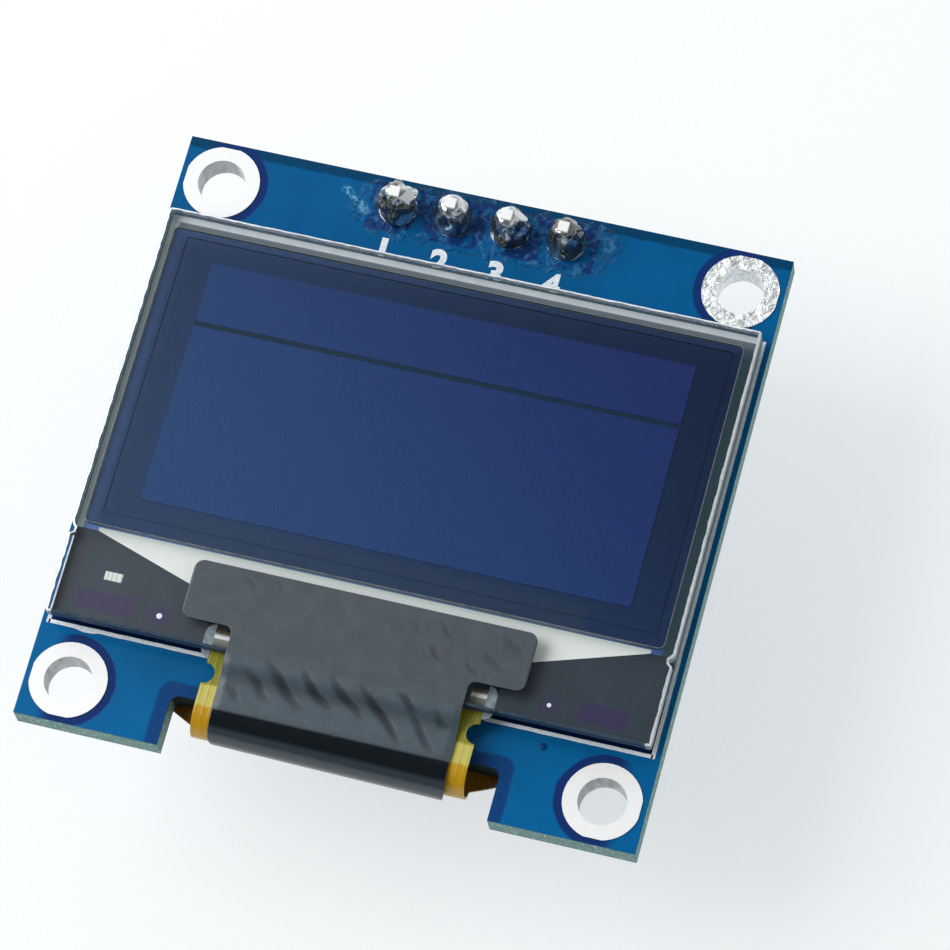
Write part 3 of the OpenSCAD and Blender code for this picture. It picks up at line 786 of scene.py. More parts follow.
@dataclass(frozen=True)
class Border:
    """Dark layers round the lit area with a painted light slope across them, the pale resin at their rim
    with painted shade over most of it, and a faint panel below them.
    """

    near: Colour = (0.12, 0.27, 0.65)
    far: Colour = (0.03, 0.085, 0.28)
    lighter: Colour = (0.2, 0.26, 0.34)
    gap: Colour = (0.03, 0.14, 0.27)
    cream: Colour = (0.95, 1.0, 0.94)
    teal: Colour = (0.02, 0.07, 0.1)
    rim: Colour = (0.2, 0.25, 0.31)

    def build(self, film: Extent, lit: Extent, cover: Extent) -> Material:
        """Builds the material.

        Args:
            film: Extent of the resin seal round the dark layers.
            lit: Extent of the lit area.
            cover: Extent of the polarizing film above them.

        Returns:
            The material.
        """
        g = Graph("dark_border")
        x, y, _ = g.parts()
        grain = g.noise(8.0, 2, 0.7)
        # Painted light: the same slope as the pixels, paler at the lower left and darker at the upper
        # right.
        dark = g.blend(slope_across(g, cover), self.near, self.far)
        dark = g.blend(g.times(grain, 0.3), dark, (0.01, 0.03, 0.08))
        panel = g.patch((lit.low.x + 1.9, lit.high.x - 1.7), (film.low.y - 1.0, lit.low.y - 0.35), 0.04)
        dark = g.blend(g.times(panel, 0.3), dark, self.lighter)
        between = g.patch((lit.low.x, lit.high.x), (lit.low.y, lit.high.y), 0.02)
        dark = g.blend(between, dark, self.gap)
        covered = g.patch((cover.low.x - 0.09, cover.high.x - 0.11),
                          (cover.low.y - 0.5, cover.high.y + 0.17), 0.02)
        streaks = g.noise(1.8, 4, 0.6)
        # Painted shade: outside the film the resin is cream only at its left edge and a dark teal shade
        # elsewhere.
        bare = g.blend(g.step(x, film.low.x + 0.6, film.low.x + 0.5), self.teal, self.cream)
        top = g.step(y, cover.high.y + 0.15, cover.high.y + 0.2)
        shade = g.step(y, cover.high.y, film.high.y)
        top_colour = g.blend(shade, tuple(c * 0.45 for c in self.rim), self.rim)
        bare = g.blend(g.times(top, g.step(x, film.low.x + 0.2, film.low.x + 0.5)), bare, top_colour)
        line = g.window(y, film.high.y - 0.26, film.high.y + 1.0, 0.06)
        bare = g.blend(g.times(line, 0.9), bare, (0.92, 0.95, 1.0))
        bare = g.blend(g.times(streaks, 0.3), bare, (0.12, 0.16, 0.17))
        colour = g.blend(covered, bare, dark)
        low = g.step(y, cover.low.y + 0.13, cover.low.y + 0.09)
        low = g.times(low, g.step(g.absolute(x), 12.25, 12.15))
        colour = g.blend(low, colour, (0.9, 0.95, 0.86))
        return g.finish(g.solid(Base_Color=colour, Roughness=0.45))


@dataclass(frozen=True)
class LedgeFilm:
    """Dark grey electrode film on the ledge, with its alignment marks and two bare windows."""

    colour: Colour = (0.026, 0.042, 0.066)
    violet: Colour = (0.03, 0.02, 0.085)
    mark: Colour = (0.85, 0.87, 0.82)

    def build(self, ledge: Extent) -> Material:
        """Builds the material.

        Args:
            ledge: Extent of the film.

        Returns:
            The material.
        """
        g = Graph("ledge_film")
        low = ledge.low.y
        left, right = ledge.low.x, ledge.high.x
        x, _, _ = g.parts()
        cloud = g.noise(0.5, 3, 0.5)
        colour = g.blend(g.step(cloud, 0.3, 0.7), self.colour, tuple(c * 0.8 for c in self.colour))
        windows = g.either(g.patch((left + 1.0, left + 3.3), (low + 0.48, low + 1.28), 0.08),
                           g.patch((right - 3.2, right - 1.15), (low + 0.42, low + 1.24), 0.08))
        halos = g.either(g.step(g.reach(-8.56, low + 0.86), 0.5, 0.4),
                         g.times(g.step(g.reach(8.62, low + 0.8), 0.45, 0.3), 0.6))
        colour = g.blend(g.either(windows, halos), colour, self.violet)
        dots = g.either(g.step(g.reach(-8.56, low + 0.86), 0.14, 0.11),
                        g.step(g.reach(8.62, low + 0.8), 0.11, 0.08))
        colour = g.blend(dots, colour, (1.0, 1.0, 1.0))
        stripe = g.math("FRACT", g.over(x, 0.2))
        fiducial = g.patch((left + 1.8, left + 2.56), (low + 1.93, low + 2.3), 0.02)
        fiducial = g.times(fiducial, g.lerp(g.step(stripe, 0.75, 0.85), 1.0, 0.6))
        colour = g.blend(fiducial, colour, self.mark)
        return g.finish(g.solid(Base_Color=colour, Roughness=0.35))


@dataclass(frozen=True)
class LeadFan:
    """Pale leads that run together towards the driver."""

    colour: Colour = (1.0, 1.0, 0.97)

    def build(self, fan: Extent) -> Material:
        """Builds the material.

        Args:
            fan: Extent of the fan.

        Returns:
            The material.
        """
        g = Graph("lead_fan")
        x, y, _ = g.parts()
        drop = g.over(g.less(fan.high.y, y), fan.size.y)
        spread = g.over(x, g.less(1.25, drop))
        line = g.absolute(g.less(g.math("FRACT", g.times(spread, 5.5)), 0.5))
        grain = g.noise(3.0, 3, 0.6)
        shade = g.plus(g.times(g.step(line, 0.3, 0.45), 0.06),
                       g.times(grain, 0.02))
        colour = g.blend(shade, self.colour, (0.42, 0.47, 0.45))
        return g.finish(g.solid(Base_Color=colour, Roughness=0.3))


@dataclass(frozen=True)
class ClearSheet:
    """Thin clear sheet: what is behind it shows, tinted, under a gloss that grows at grazing angles."""

    NORMAL_SHINE = 0.04

    name: str
    tint: Colour = (1.0, 1.0, 1.0)
    roughness: float = 0.02
    ripple: float = 0.0
    grain: float = 0.015

    def build(self) -> Material:
        """Builds the material.

        Returns:
            The material.
        """
        g = Graph(self.name)
        facing = g.add("ShaderNodeLayerWeight")
        facing.inputs["Blend"].default_value = 0.5
        grazing = g.math("POWER", facing.outputs["Facing"], 5.0)
        shine = g.plus(g.times(grazing, 1.0 - self.NORMAL_SHINE), self.NORMAL_SHINE)
        through = g.add("ShaderNodeBsdfTransparent")
        mirror = g.add("ShaderNodeBsdfGlossy")
        smear = g.noise(0.6, 4, 0.6)
        grain = g.noise(11.0, 2, 0.6)
        g.feed(through.inputs["Color"], g.blend(g.times(grain, self.grain), self.tint,
                                                tuple(c * 0.8 for c in self.tint)))
        g.feed(mirror.inputs["Roughness"], g.lerp(smear, self.roughness * 0.8, self.roughness * 1.3))
        if self.ripple:
            g.feed(mirror.inputs["Normal"], g.bump(grain, self.ripple, 0.5))
        mix = g.add("ShaderNodeMixShader")
        g.feed(mix.inputs[0], shine)
        g.tree.links.new(through.outputs[0], mix.inputs[1])
        g.tree.links.new(mirror.outputs[0], mix.inputs[2])
        return g.finish(mix.outputs[0])


@dataclass(frozen=True)
class UnseenBack:
    """The back of a clear sheet, which adds nothing to what shows through it."""

    name: str

    def build(self) -> Material:
        """Builds the material.

        Returns:
            The material.
        """
        g = Graph(self.name)
        through = g.add("ShaderNodeBsdfTransparent")
        tint = g.blend(g.noise(0.4, 2, 0.5), (1.0, 1.0, 1.0), (0.985, 0.99, 0.99))
        g.feed(through.inputs["Color"], tint)
        return g.finish(through.outputs[0])


@dataclass(frozen=True)
class Grained:
    """Two tones that one fractal grain mixes, while it roughens and tilts the surface.

    The grain is its scale, detail and weight of the finer layers. Tones are the heights of the grain
    between which the second tone comes in, gloss the roughness below and above, relief its depth and tilt.
    """

    name: str
    first: Colour
    second: Colour
    grain: Triple
    tones: Point
    gloss: Point
    relief: Point
    share: float = 1.0

    @classmethod
    def edge(cls, name: str, pale: Colour, deep: Colour, bright: float) -> "Grained":
        """Describes a ground or cut glass edge, pale where it is ground and deep where only cut."""
        return cls(name, deep, pale, (5.0, 5, 0.7), (0.3, 0.55), (0.2, 0.5), (0.04, 0.8), bright)

    def build(self) -> Material:
        """Builds the material.

        Returns:
            The material.
        """
        g = Graph(self.name)
        grain = g.noise(*self.grain)
        share = g.times(g.step(grain, *self.tones), self.share)
        return g.finish(g.solid(Base_Color=g.blend(share, self.first, self.second),
                                Roughness=g.lerp(grain, *self.gloss), Normal=g.bump(grain, *self.relief)))


CLOUDY_RESIN = Grained("cloudy_resin", (0.36, 0.42, 0.46), (0.2, 0.25, 0.3), (3.0, 4, 0.55),
                       (0.3, 0.7), (0.12, 0.25), (0.03, 0.5))
WHITE_INK = Grained("white_ink", (0.86, 0.9, 0.93), (0.45, 0.62, 0.78), (7.0, 4, 0.65),
                    (0.48, 0.75), (0.4, 0.6), (0.01, 0.6))


@dataclass(frozen=True)
class Polyimide:
    """Amber film over copper: olive near the glass, golden over the fold, with a painted reflection that
    turns it tan before the fold and painted shade that makes it brown behind the board and dark under the
    glass.
    """

    olive: Colour = (0.24, 0.26, 0.012)
    tan: Colour = (0.62, 0.58, 0.14)
    gold: Colour = (0.58, 0.32, 0.004)
    brown: Colour = (0.32, 0.13, 0.003)

    def build(self, flex: Extent, glass_edge: float) -> Material:
        """Builds the material.

        Args:
            flex: Extent of the flexible circuit.
            glass_edge: Height of the panel's lower edge.

        Returns:
            The material.
        """
        g = Graph("amber_polyimide")
        x, y, z = g.parts()
        blur = g.times(g.less(g.noise(1.5, 3, 0.5), 0.5), 0.16)
        along = g.plus(y, blur)
        # Painted shade: dark where the film lies under the glass ledge.
        under = g.step(along, glass_edge - 0.1, glass_edge + 0.05)
        # Painted reflection: the tan zone before the fold stands for the bright surround mirrored in the
        # film.
        start = g.step(along, glass_edge - 1.42, glass_edge - 1.54)
        fold = g.step(z, flex.high.z - 0.03, flex.high.z - 0.18)
        fold = g.either(fold, g.step(along, glass_edge - 2.35, glass_edge - 2.5))
        # Painted shade: brown where the film runs behind the board.
        behind = g.step(z, flex.low.z + 0.75, flex.low.z + 0.35)
        colour = g.blend(start, self.olive, self.tan)
        colour = g.blend(fold, colour, self.gold)
        colour = g.blend(behind, colour, self.brown)
        colour = g.blend(under, colour, (0.05, 0.035, 0.01))
        lines = g.comb(x, 0.31)
        colour = g.blend(g.times(g.step(lines, 0.3, 0.42), 0.22), colour, self.olive)
        colour = g.blend(g.times(g.noise(1.2, 3, 0.6), 0.3), colour, self.brown)
        normal = g.bump(g.step(lines, 0.25, 0.42), 0.01, 0.5)
        normal = g.bump(g.noise(0.9, 3, 0.5), 0.05, 0.5, normal)
        return g.finish(g.solid(Base_Color=colour, Roughness=g.lerp(g.noise(3.0), 0.22, 0.34),
                                Normal=normal))


@dataclass(frozen=True)
class BlackTape:
    """Thin black plastic tape: a leathery grey sheen where it is slack, black gloss where it is tight,
    painted shade in its creases and a painted reflection of the floor low on its bend.
    """

    colour: Colour = (0.056, 0.08, 0.102)
    # groove is the painted shade colour of the creases.
    groove: Colour = (0.008, 0.013, 0.018)
    # under is a painted reflection of the pale floor on the bend's lower part.
    under: Colour = (0.032, 0.047, 0.06)
    tight: Colour = (0.003, 0.006, 0.009)
    head: Colour = (0.05, 0.066, 0.08)

    def build(self, tape: Extent, glass_edge: float) -> Material:
        """Builds the material.

        Args:
            tape: Extent of the tape.
            glass_edge: Height of the panel's lower edge.

        Returns:
            The material.
        """
        g = Graph("black_tape")
        _, y, z = g.parts()
        fold = g.add("ShaderNodeAttribute", attribute_name="painted_crease_shade").outputs["Fac"]
        tight = g.step(y, tape.low.y + 1.2, tape.low.y + 1.04)
        fine = g.noise(10.0, 3, 0.6)
        broad = g.noise(1.1, 3, 0.55)
        scuffs = g.step(g.noise(1.3, 5, 0.65, g.stretch((1.0, 1.9, 1.0))), 0.56, 0.66)
        slack = g.blend(g.step(y, glass_edge - 0.35, glass_edge + 0.15), self.colour, self.head)
        slack = g.blend(g.times(g.step(broad, 0.3, 0.7), 0.3), slack, (0.08, 0.11, 0.13))
        slack = g.blend(g.times(scuffs, 0.3), slack, (0.03, 0.043, 0.052))
        # Painted shade: the wrinkles' grooves are darkened by the shade that the mesh carries.
        slack = g.blend(fold, slack, self.groove)
        # Painted reflection: below the fold's middle height the bend is lighter as if mirroring the floor;
        # above it the tape is black.
        fold_height = tape.low.z + (tape.high.z - tape.low.z) * 0.63
        below = g.blend(g.step(z, fold_height + 0.08, fold_height - 0.08), self.tight, self.under)
        colour = g.blend(tight, slack, below)
        rough = g.lerp(tight, g.lerp(fine, 0.36, 0.48), 0.12)
        normal = g.bump(fine, 0.012, 0.6)
        normal = g.bump(broad, 0.05, 0.3, normal)
        return g.finish(g.solid(Base_Color=colour, Roughness=rough, Normal=normal))


@dataclass(frozen=True)
class MarkSilver:
    """Metal mark under the glass: a painted highlight as a bright line at its top, fading to brown below.
    """

    line: Colour = (1.0, 1.0, 1.0)
    silver: Colour = (0.3, 0.29, 0.27)
    foot: Colour = (0.09, 0.07, 0.05)

    def build(self, mark: Extent) -> Material:
        """Builds the material.

        Args:
            mark: Extent of the mark.

        Returns:
            The material.
        """
        g = Graph("silver_mark")
        _, y, _ = g.parts()
        brushed = g.noise(5.0, 3, 0.6, g.stretch((0.3, 1.0, 1.0)))
        colour = g.blend(g.step(y, mark.low.y + 0.45, mark.low.y + 0.05), self.silver, self.foot)
        colour = g.blend(g.times(brushed, 0.3), colour, (0.16, 0.15, 0.14))
        # Painted highlight: a white line across the mark's top.
        colour = g.blend(g.window(y, mark.high.y - 0.24, mark.high.y - 0.09, 0.02), colour, self.line)
        return g.finish(g.solid(Base_Color=colour, Roughness=0.3))


# ---------------------------------------------------------------- meshes


class Piece:
    """A mesh object that is built from loose corners and faces, in millimetres."""

    def __init__(self, name: str) -> None:
        """Starts an empty mesh that will belong to an object of this name."""
        self.name = name
        self.mesh = bmesh.new()

    def corner(self, x: float, y: float, z: float) -> bmesh.types.BMVert:
        """Adds a corner at a place in millimetres."""
        return self.mesh.verts.new((x * MM, y * MM, z * MM))

    def face(self, corners: list[bmesh.types.BMVert], slot: int = 0) -> None:
        """Adds a face with a material slot."""
        self.mesh.faces.new(corners).material_index = slot

    def loft(self, rings: list[list[Vector]], slots: list[int], caps: tuple[int, int]) -> None:
        """Joins closed rings of equal length by quads and closes both ends.

        Args:
            rings: Rings from the lowest up, each counter-clockwise seen from above.
            slots: Material slot of each band between rings.
            caps: Material slots of the lower and upper ends.
        """
        corners = [[self.corner(*p) for p in ring] for ring in rings]
        count = len(rings[0])
        for band, slot in enumerate(slots):
            low, high = corners[band], corners[band + 1]
            for i in range(count):
                j = (i + 1) % count
                self.face([low[i], low[j], high[j], high[i]], slot)
        self.face(list(reversed(corners[0])), caps[0])
        self.face(corners[-1], caps[1])

    def slab(self, outline: list[Point], low: float, high: float, slot: int = 0) -> None:
        """Adds an upright prism over a counter-clockwise outline, between two heights."""
        rings = [at_height(outline, z) for z in (low, high)]
        self.loft(rings, [slot], (slot, slot))

    def make(self, *materials: Material, smooth: bool = False, angle: float = 40.0) -> bpy.types.Object:
        """Turns the corners and faces into an object in the scene.

        Args:
            *materials: Material of each slot.
            smooth: Whether faces that meet at a blunt angle are shaded as one.
            angle: The sharpest angle, in degrees, that is still blunt.

        Returns:
            The object.
        """
        mesh = bpy.data.meshes.new(self.name)
        self.mesh.normal_update()
        if smooth:
            for f in self.mesh.faces:
                f.smooth = True
            for e in self.mesh.edges:
                if len(e.link_faces) == 2 and e.calc_face_angle(0.0) > math.radians(angle):
                    e.smooth = False
        self.mesh.to_mesh(mesh)
        self.mesh.free()
        for m in materials:
            mesh.materials.append(m)
        return show(self.name, mesh)


def show(name: str, data: bpy.types.ID) -> bpy.types.Object:
    """Puts data into the scene as an object.

    Args:
        name: Name of the object.
        data: Mesh, curve, camera or lamp.

    Returns:
        The object.
    """
    obj = bpy.data.objects.new(name, data)
    bpy.context.scene.collection.objects.link(obj)
    return obj


def held(share: float) -> float:
    """Holds a share between 0 and 1."""
    return min(1.0, max(0.0, share))


def at_height(outline: list[Point], z: float) -> list[Vector]:
    """Lifts an outline of the board's plane to a height."""
    return [Vector((x, y, z)) for x, y in outline]


def rounded_outline(low: Point, high: Point, radius: float, steps: int = 6) -> list[Point]:
    """Outline of a rectangle with round corners.

    Args:
        low: Lower left corner.
        high: Upper right corner.
        radius: Corner radius.
        steps: Straight pieces of each corner.

    Returns:
        Its corners, counter-clockwise.
    """
    centres = [((high[0] - radius, high[1] - radius), 0), ((low[0] + radius, high[1] - radius), 90),
               ((low[0] + radius, low[1] + radius), 180), ((high[0] - radius, low[1] + radius), 270)]
    outline = []
    for (cx, cy), start in centres:
        for i in range(steps + 1):
            a = math.radians(start + 90 * i / steps)
            outline.append((cx + radius * math.cos(a), cy + radius * math.sin(a)))
    return outline


def walk_outline(outline: list[Point], pace: float) -> list[Point]:
    """Splits an outline's long sides.

    Args:
        outline: The corners.
        pace: The longest side that is left whole.

    Returns:
        The corners with the new ones between them.
    """
    walked = []
    for i, (x0, y0) in enumerate(outline):
        x1, y1 = outline[(i + 1) % len(outline)]
        parts = max(1, math.ceil(math.hypot(x1 - x0, y1 - y0) / pace))
        walked += [(x0 + (x1 - x0) * k / parts, y0 + (y1 - y0) * k / parts) for k in range(parts)]
    return walked


def inset_outline(outline: list[Point], distances: list[float]) -> list[Point]:
    """Moves each corner of a counter-clockwise outline inwards.

    Args:
        outline: The corners.
        distances: How far each corner moves.

    Returns:
        The moved corners.
    """
    moved = []
    for i, (x, y) in enumerate(outline):
        (xa, ya), (xb, yb) = outline[i - 1], outline[(i + 1) % len(outline)]
        tx, ty = xb - xa, yb - ya
        length = math.hypot(tx, ty) or 1.0
        moved.append((x - ty / length * distances[i], y + tx / length * distances[i]))
    return moved


def dress(material: Material, *nodes: str) -> None:
    """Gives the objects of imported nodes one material.

    Args:
        material: The material.
        *nodes: Names of the nodes.
    """
    for node in nodes:
        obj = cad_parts[node]
        obj.data.materials.clear()
        obj.data.materials.append(material)


def settle(obj: bpy.types.Object, slot: str, *nodes: str) -> None:
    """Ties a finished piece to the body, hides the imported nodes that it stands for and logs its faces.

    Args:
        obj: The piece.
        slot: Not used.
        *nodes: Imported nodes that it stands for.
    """
    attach(obj, "root")
    if nodes:
        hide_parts(*nodes)
    LOG.info("%s: %d faces", obj.name, len(obj.data.polygons))


class NodeCopies:
    """A Geometry Nodes tree that sets one small shape on each corner of a guide mesh."""

    def __init__(self, name: str, material: Material, seed: int = 1) -> None:
        """Builds the tree's sockets and its closing nodes.

        Args:
            name: Name of the tree and of the finished piece.
            material: Material of the copies.
            seed: Seed of the copies' spread in size.
        """
        self.name = name
        self.tree = bpy.data.node_groups.new(name, "GeometryNodeTree")
        face = self.tree.interface
        face.new_socket("Geometry", in_out="INPUT", socket_type="NodeSocketGeometry")
        self.sizes = {key: face.new_socket(key, in_out="INPUT", socket_type="NodeSocketFloat")
                      for key in ("Length", "Width", "Height", "Spread")}
        face.new_socket("Geometry", in_out="OUTPUT", socket_type="NodeSocketGeometry")
        nodes, links = self.tree.nodes, self.tree.links
        self.entry = nodes.new("NodeGroupInput")
        exit_ = nodes.new("NodeGroupOutput")
        self.spots = nodes.new("GeometryNodeInstanceOnPoints")
        chance = nodes.new("FunctionNodeRandomValue")
        chance.inputs["Seed"].default_value = seed
        links.new(self.entry.outputs["Spread"], chance.inputs[3])
        chance.inputs[2].default_value = 1.0
        links.new(chance.outputs[1], self.spots.inputs["Scale"])
        real = nodes.new("GeometryNodeRealizeInstances")
        paint = nodes.new("GeometryNodeSetMaterial")
        paint.inputs["Material"].default_value = material
        links.new(self.entry.outputs["Geometry"], self.spots.inputs["Points"])
        links.new(self.spots.outputs[0], real.inputs[0])
        links.new(real.outputs[0], paint.inputs["Geometry"])
        links.new(paint.outputs[0], exit_.inputs[0])

    def bar(self) -> None:
        """Makes the copied shape a flat bar of the named sizes."""
        nodes, links = self.tree.nodes, self.tree.links
        cube = nodes.new("GeometryNodeMeshCube")
        size = nodes.new("ShaderNodeCombineXYZ")
        for key, place in (("Width", 0), ("Length", 1), ("Height", 2)):
            links.new(self.entry.outputs[key], size.inputs[place])
        links.new(size.outputs[0], cube.inputs["Size"])
        links.new(cube.outputs[0], self.spots.inputs["Instance"])

    def dome(self, sides: int = 20) -> None:
        """Makes the copied shape a low dome of the named width and height.

        Args:
            sides: Faces round the dome.
        """
        nodes, links = self.tree.nodes, self.tree.links
        ball = nodes.new("GeometryNodeMeshUVSphere")
        ball.inputs["Segments"].default_value = sides
        ball.inputs["Rings"].default_value = 10
        ball.inputs["Radius"].default_value = 0.5
        size = nodes.new("ShaderNodeCombineXYZ")
        for key, place in (("Width", 0), ("Width", 1), ("Height", 2)):
            links.new(self.entry.outputs[key], size.inputs[place])
        squash = nodes.new("GeometryNodeTransform")
        links.new(ball.outputs[0], squash.inputs[0])
        links.new(size.outputs[0], squash.inputs["Scale"])
        links.new(squash.outputs[0], self.spots.inputs["Instance"])

    def make(self, spots: list[Vector], **sizes: float) -> bpy.types.Object:
        """Runs the tree on its guide points and keeps the result as a plain mesh.

        Args:
            spots: Places of the copies, in millimetres.
            **sizes: Named inputs of the tree, in millimetres; Spread is the smallest scale.

        Returns:
            The finished object.
        """
        guide_mesh = bpy.data.meshes.new(self.name + "_guide")
        guide_mesh.from_pydata([tuple(p * MM) for p in spots], [], [])
        guide = show(self.name + "_guide", guide_mesh)
        modifier = guide.modifiers.new("copies", "NODES")
        modifier.node_group = self.tree
        for key, socket in self.sizes.items():
            value = sizes.get(key, 1.0)
            modifier[socket.identifier] = value if key == "Spread" else value * MM
        depsgraph = bpy.context.evaluated_depsgraph_get()
        mesh = bpy.data.meshes.new_from_object(guide.evaluated_get(depsgraph))
        mesh.name = self.name
        guide.modifiers.clear()
        bpy.data.objects.remove(guide)
        return show(self.name, mesh)


# ---------------------------------------------------------------- the board


@dataclass
class Carrier:
    """The blue circuit board with its plated holes, print and vias."""

    line_w: float = 0.17
    ink_t: float = 0.015
    digit_h: float = 1.12
    notch_half: float = 7.25
    notch_depth: float = 2.3
    ring_r: float = 1.7
    figure_to_size: float = 1.38
    figure_swell: float = 0.07
    frame_w: float = 0.12
    outline_w: float = 0.14
    frame_gap: Point = (0.32, 0.35)
    rear_digit_h: float = 0.95
    board: Extent = field(default_factory=lambda: Extent.of("pcb"))
    glass: Extent = field(default_factory=lambda: Extent.of("substrate_glass"))

    def build(self) -> None:
        """Builds and dresses everything that belongs to the bare board."""
        lining = Extent.of("mount_lining_2")
        hole = (lining.low.x + self.ring_r, lining.low.y + self.ring_r)
        pins = Extent(Extent.of("header_pad_1").low, Extent.of("header_pad_4").high)
        notch = (self.notch_half, self.board.low.y + self.notch_depth)
        dress(SolderMask().build(self.board, hole, notch, pins, self.glass.low.y), "pcb")
        plain = TinnedCopper("bright_tin", (0.98, 0.985, 0.985), roughness=0.4, metallic=0.15,
                             dark_barrel=0.8).build()
        rough = TinnedCopper("mottled_tin", (0.92, 0.95, 0.96), (0.4, 0.42, 0.43), mottle=0.45,
                             roughness=0.24, metallic=0.8).build()
        for i in range(1, 5):
            dress(rough if i == 2 else plain, f"mount_lining_{i}")
            dress(plain, f"header_pad_{i}")
        self.print_front()
        self.print_rear()
        self.vias()

    def strip(self, piece: Piece, start: Point, end: Point, width: float, face: Face,
              wobble: float = 0.012, bulge: Triple | None = None) -> None:
        """Adds one printed line with slightly uneven flanks.

        Args:
            piece: Piece to add to.
            start: One end of the line.
            end: Other end of the line.
            width: Width of the line.
            face: Side of the board.
            wobble: Unevenness of the flanks.
            bulge: Distance along the line, half length and size of a run of ink on its right.
        """
        a, b = Vector((*start, 0)), Vector((*end, 0))
        along = (b - a).normalized()
        across = Vector((-along.y, along.x, 0))
        count = max(2, int((b - a).length / 0.12))
        left, right = [], []
        for i in range(count + 1):
            travel = (b - a).length * i / count
            p = a + along * travel
            grow = 0.0
            if bulge:
                grow = bulge[2] * math.exp(-((travel - bulge[0]) / bulge[1]) ** 4)
            other = p * 2.9 + Vector((7, 3, 1))
            left.append(p + across * (width / 2 + wobble * noise.noise(p * 2.3)))
            right.append(p - across * (width / 2 + grow + wobble * noise.noise(other)))
        outline = [(p.x, p.y) for p in right] + [(p.x, p.y) for p in reversed(left)]
        self.ink(piece, outline, face)

    def ink(self, piece: Piece, outline: list[Point], face: Face) -> None:
        """Lays an inked outline on one side of the board.

        Args:
            piece: Piece to add to.
            outline: Corners of the ink.
            face: Side of the board.
        """
        if face is Face.FRONT:
            piece.slab(outline, self.board.high.z, self.board.high.z + self.ink_t)
        else:
            piece.slab(outline, self.board.low.z - self.ink_t, self.board.low.z)

    def digit(self, text: str, centre: Point, height: float, face: Face) -> bpy.types.Object:
        """Makes a plain printed digit as a mesh.

        Args:
            text: The digit.
            centre: Its middle in the board's plane.
            height: Height of the figure.
            face: Side of the board.

        Returns:
            The object, with its place in its mesh.
        """
        curve = bpy.data.curves.new("digit", "FONT")
        curve.body = text
        curve.size = height * MM * self.figure_to_size
        curve.align_x = "CENTER"
        curve.offset = self.figure_swell * MM
        curve.extrude = self.ink_t * MM / 2
        obj = show("digit", curve)
        mesh = bpy.data.meshes.new_from_object(obj.evaluated_get(bpy.context.evaluated_depsgraph_get()))
        bpy.data.objects.remove(obj)
        flip = Matrix.Diagonal((face.value, 1, face.value, 1))
        level = self.board.high.z + self.ink_t / 2 if face is Face.FRONT else -self.ink_t / 2
        place = Matrix.Translation(Vector((centre[0], centre[1] - height / 2, level)) * MM)
        mesh.transform(place @ flip)
        return show("digit", mesh)

    def gather(self, name: str, piece: Piece, digits: list[bpy.types.Object], ink: Material) -> None:
        """Joins printed lines and digits into one piece of ink.

        Args:
            name: Name of the piece.
            piece: The printed lines.
            digits: The printed digits.
            ink: Material of the ink.
        """
        for d in digits:
            piece.mesh.from_mesh(d.data)
            bpy.data.objects.remove(d)
        for f in piece.mesh.faces:
            f.material_index = 0
        obj = piece.make(ink)
        obj.name = name
        settle(obj, "board")

    def print_front(self) -> None:
        """Prints the panel's outline and the pin numbers on the front."""
        piece = Piece("front_print")
        low_y, x0, x1 = self.glass.low.y, self.board.low.x + 0.3, self.board.high.x - 0.33
        high_y = self.glass.high.y + 0.1
        gap = Extent.of("flex_mark_right").high.x
        self.strip(piece, (x0, low_y), (-gap - 0.08, low_y), self.line_w, Face.FRONT,
                   bulge=(1.75, 0.42, 0.08))
        self.strip(piece, (gap, low_y), (x1, low_y), self.line_w, Face.FRONT)
        for x in (x0, x1):
            self.strip(piece, (x, low_y - self.line_w / 2), (x, high_y), self.line_w, Face.FRONT)
        digits = []
        for i in range(1, 5):
            spot = (Extent.of(f"header_pin_{i}").middle.x - 0.15, self.glass.high.y + 0.62)
            digits.append(self.digit(str(i), spot, self.digit_h, Face.FRONT))
        self.gather("front_print", piece, digits, WHITE_INK.build())

    def print_rear(self) -> None:
        """Prints frames round the rear parts and the pin numbers behind the board."""
        piece = Piece("rear_print")
        digits = []
        beside, past = self.frame_gap
        for kind, count in (("resistor", RearParts.resistors), ("capacitor", RearParts.capacitors)):
            for i in range(1, count + 1):
                body = Extent.of(f"{kind}_{i}")
                for x in (body.low.x - beside, body.high.x + beside):
                    self.strip(piece, (x, body.low.y - past), (x, body.high.y + past), self.frame_w,
                               Face.REAR)
        leads = Extent.of("regulator_leads")
        for y in (leads.low.y - 0.7, leads.high.y + 0.7):
            self.strip(piece, (leads.low.x + 0.3, y), (leads.high.x - 0.3, y), self.frame_w, Face.REAR)
        tail = Extent.of("flex_lands")
        for x in (tail.low.x - 0.7, tail.high.x + 0.7):
            self.strip(piece, (x, tail.low.y - 2.0), (x, tail.high.y + 0.2), self.outline_w, Face.REAR)
        header = Extent.of("header_body")
        x0, x1, y0 = header.low.x - 0.25, header.high.x + 0.25, header.low.y - 0.25
        self.strip(piece, (x0, y0), (x1, y0), self.outline_w, Face.REAR)
        for x in (x0, x1):
            self.strip(piece, (x, y0 - self.outline_w / 2), (x, header.high.y), self.outline_w, Face.REAR)
        for i in range(1, 5):
            spot = (Extent.of(f"header_pin_{i}").middle.x, y0 - self.rear_digit_h)
            digits.append(self.digit(str(i), spot, self.rear_digit_h, Face.REAR))
        self.gather("rear_print", piece, digits, WHITE_INK.build())

    def vias(self) -> None:
        """Sets tented vias on both faces with a node tree."""
        far = 90.0
        nowhere = Extent(Vector((far, far, 0)), Vector((far + 1, far + 1, 0)))
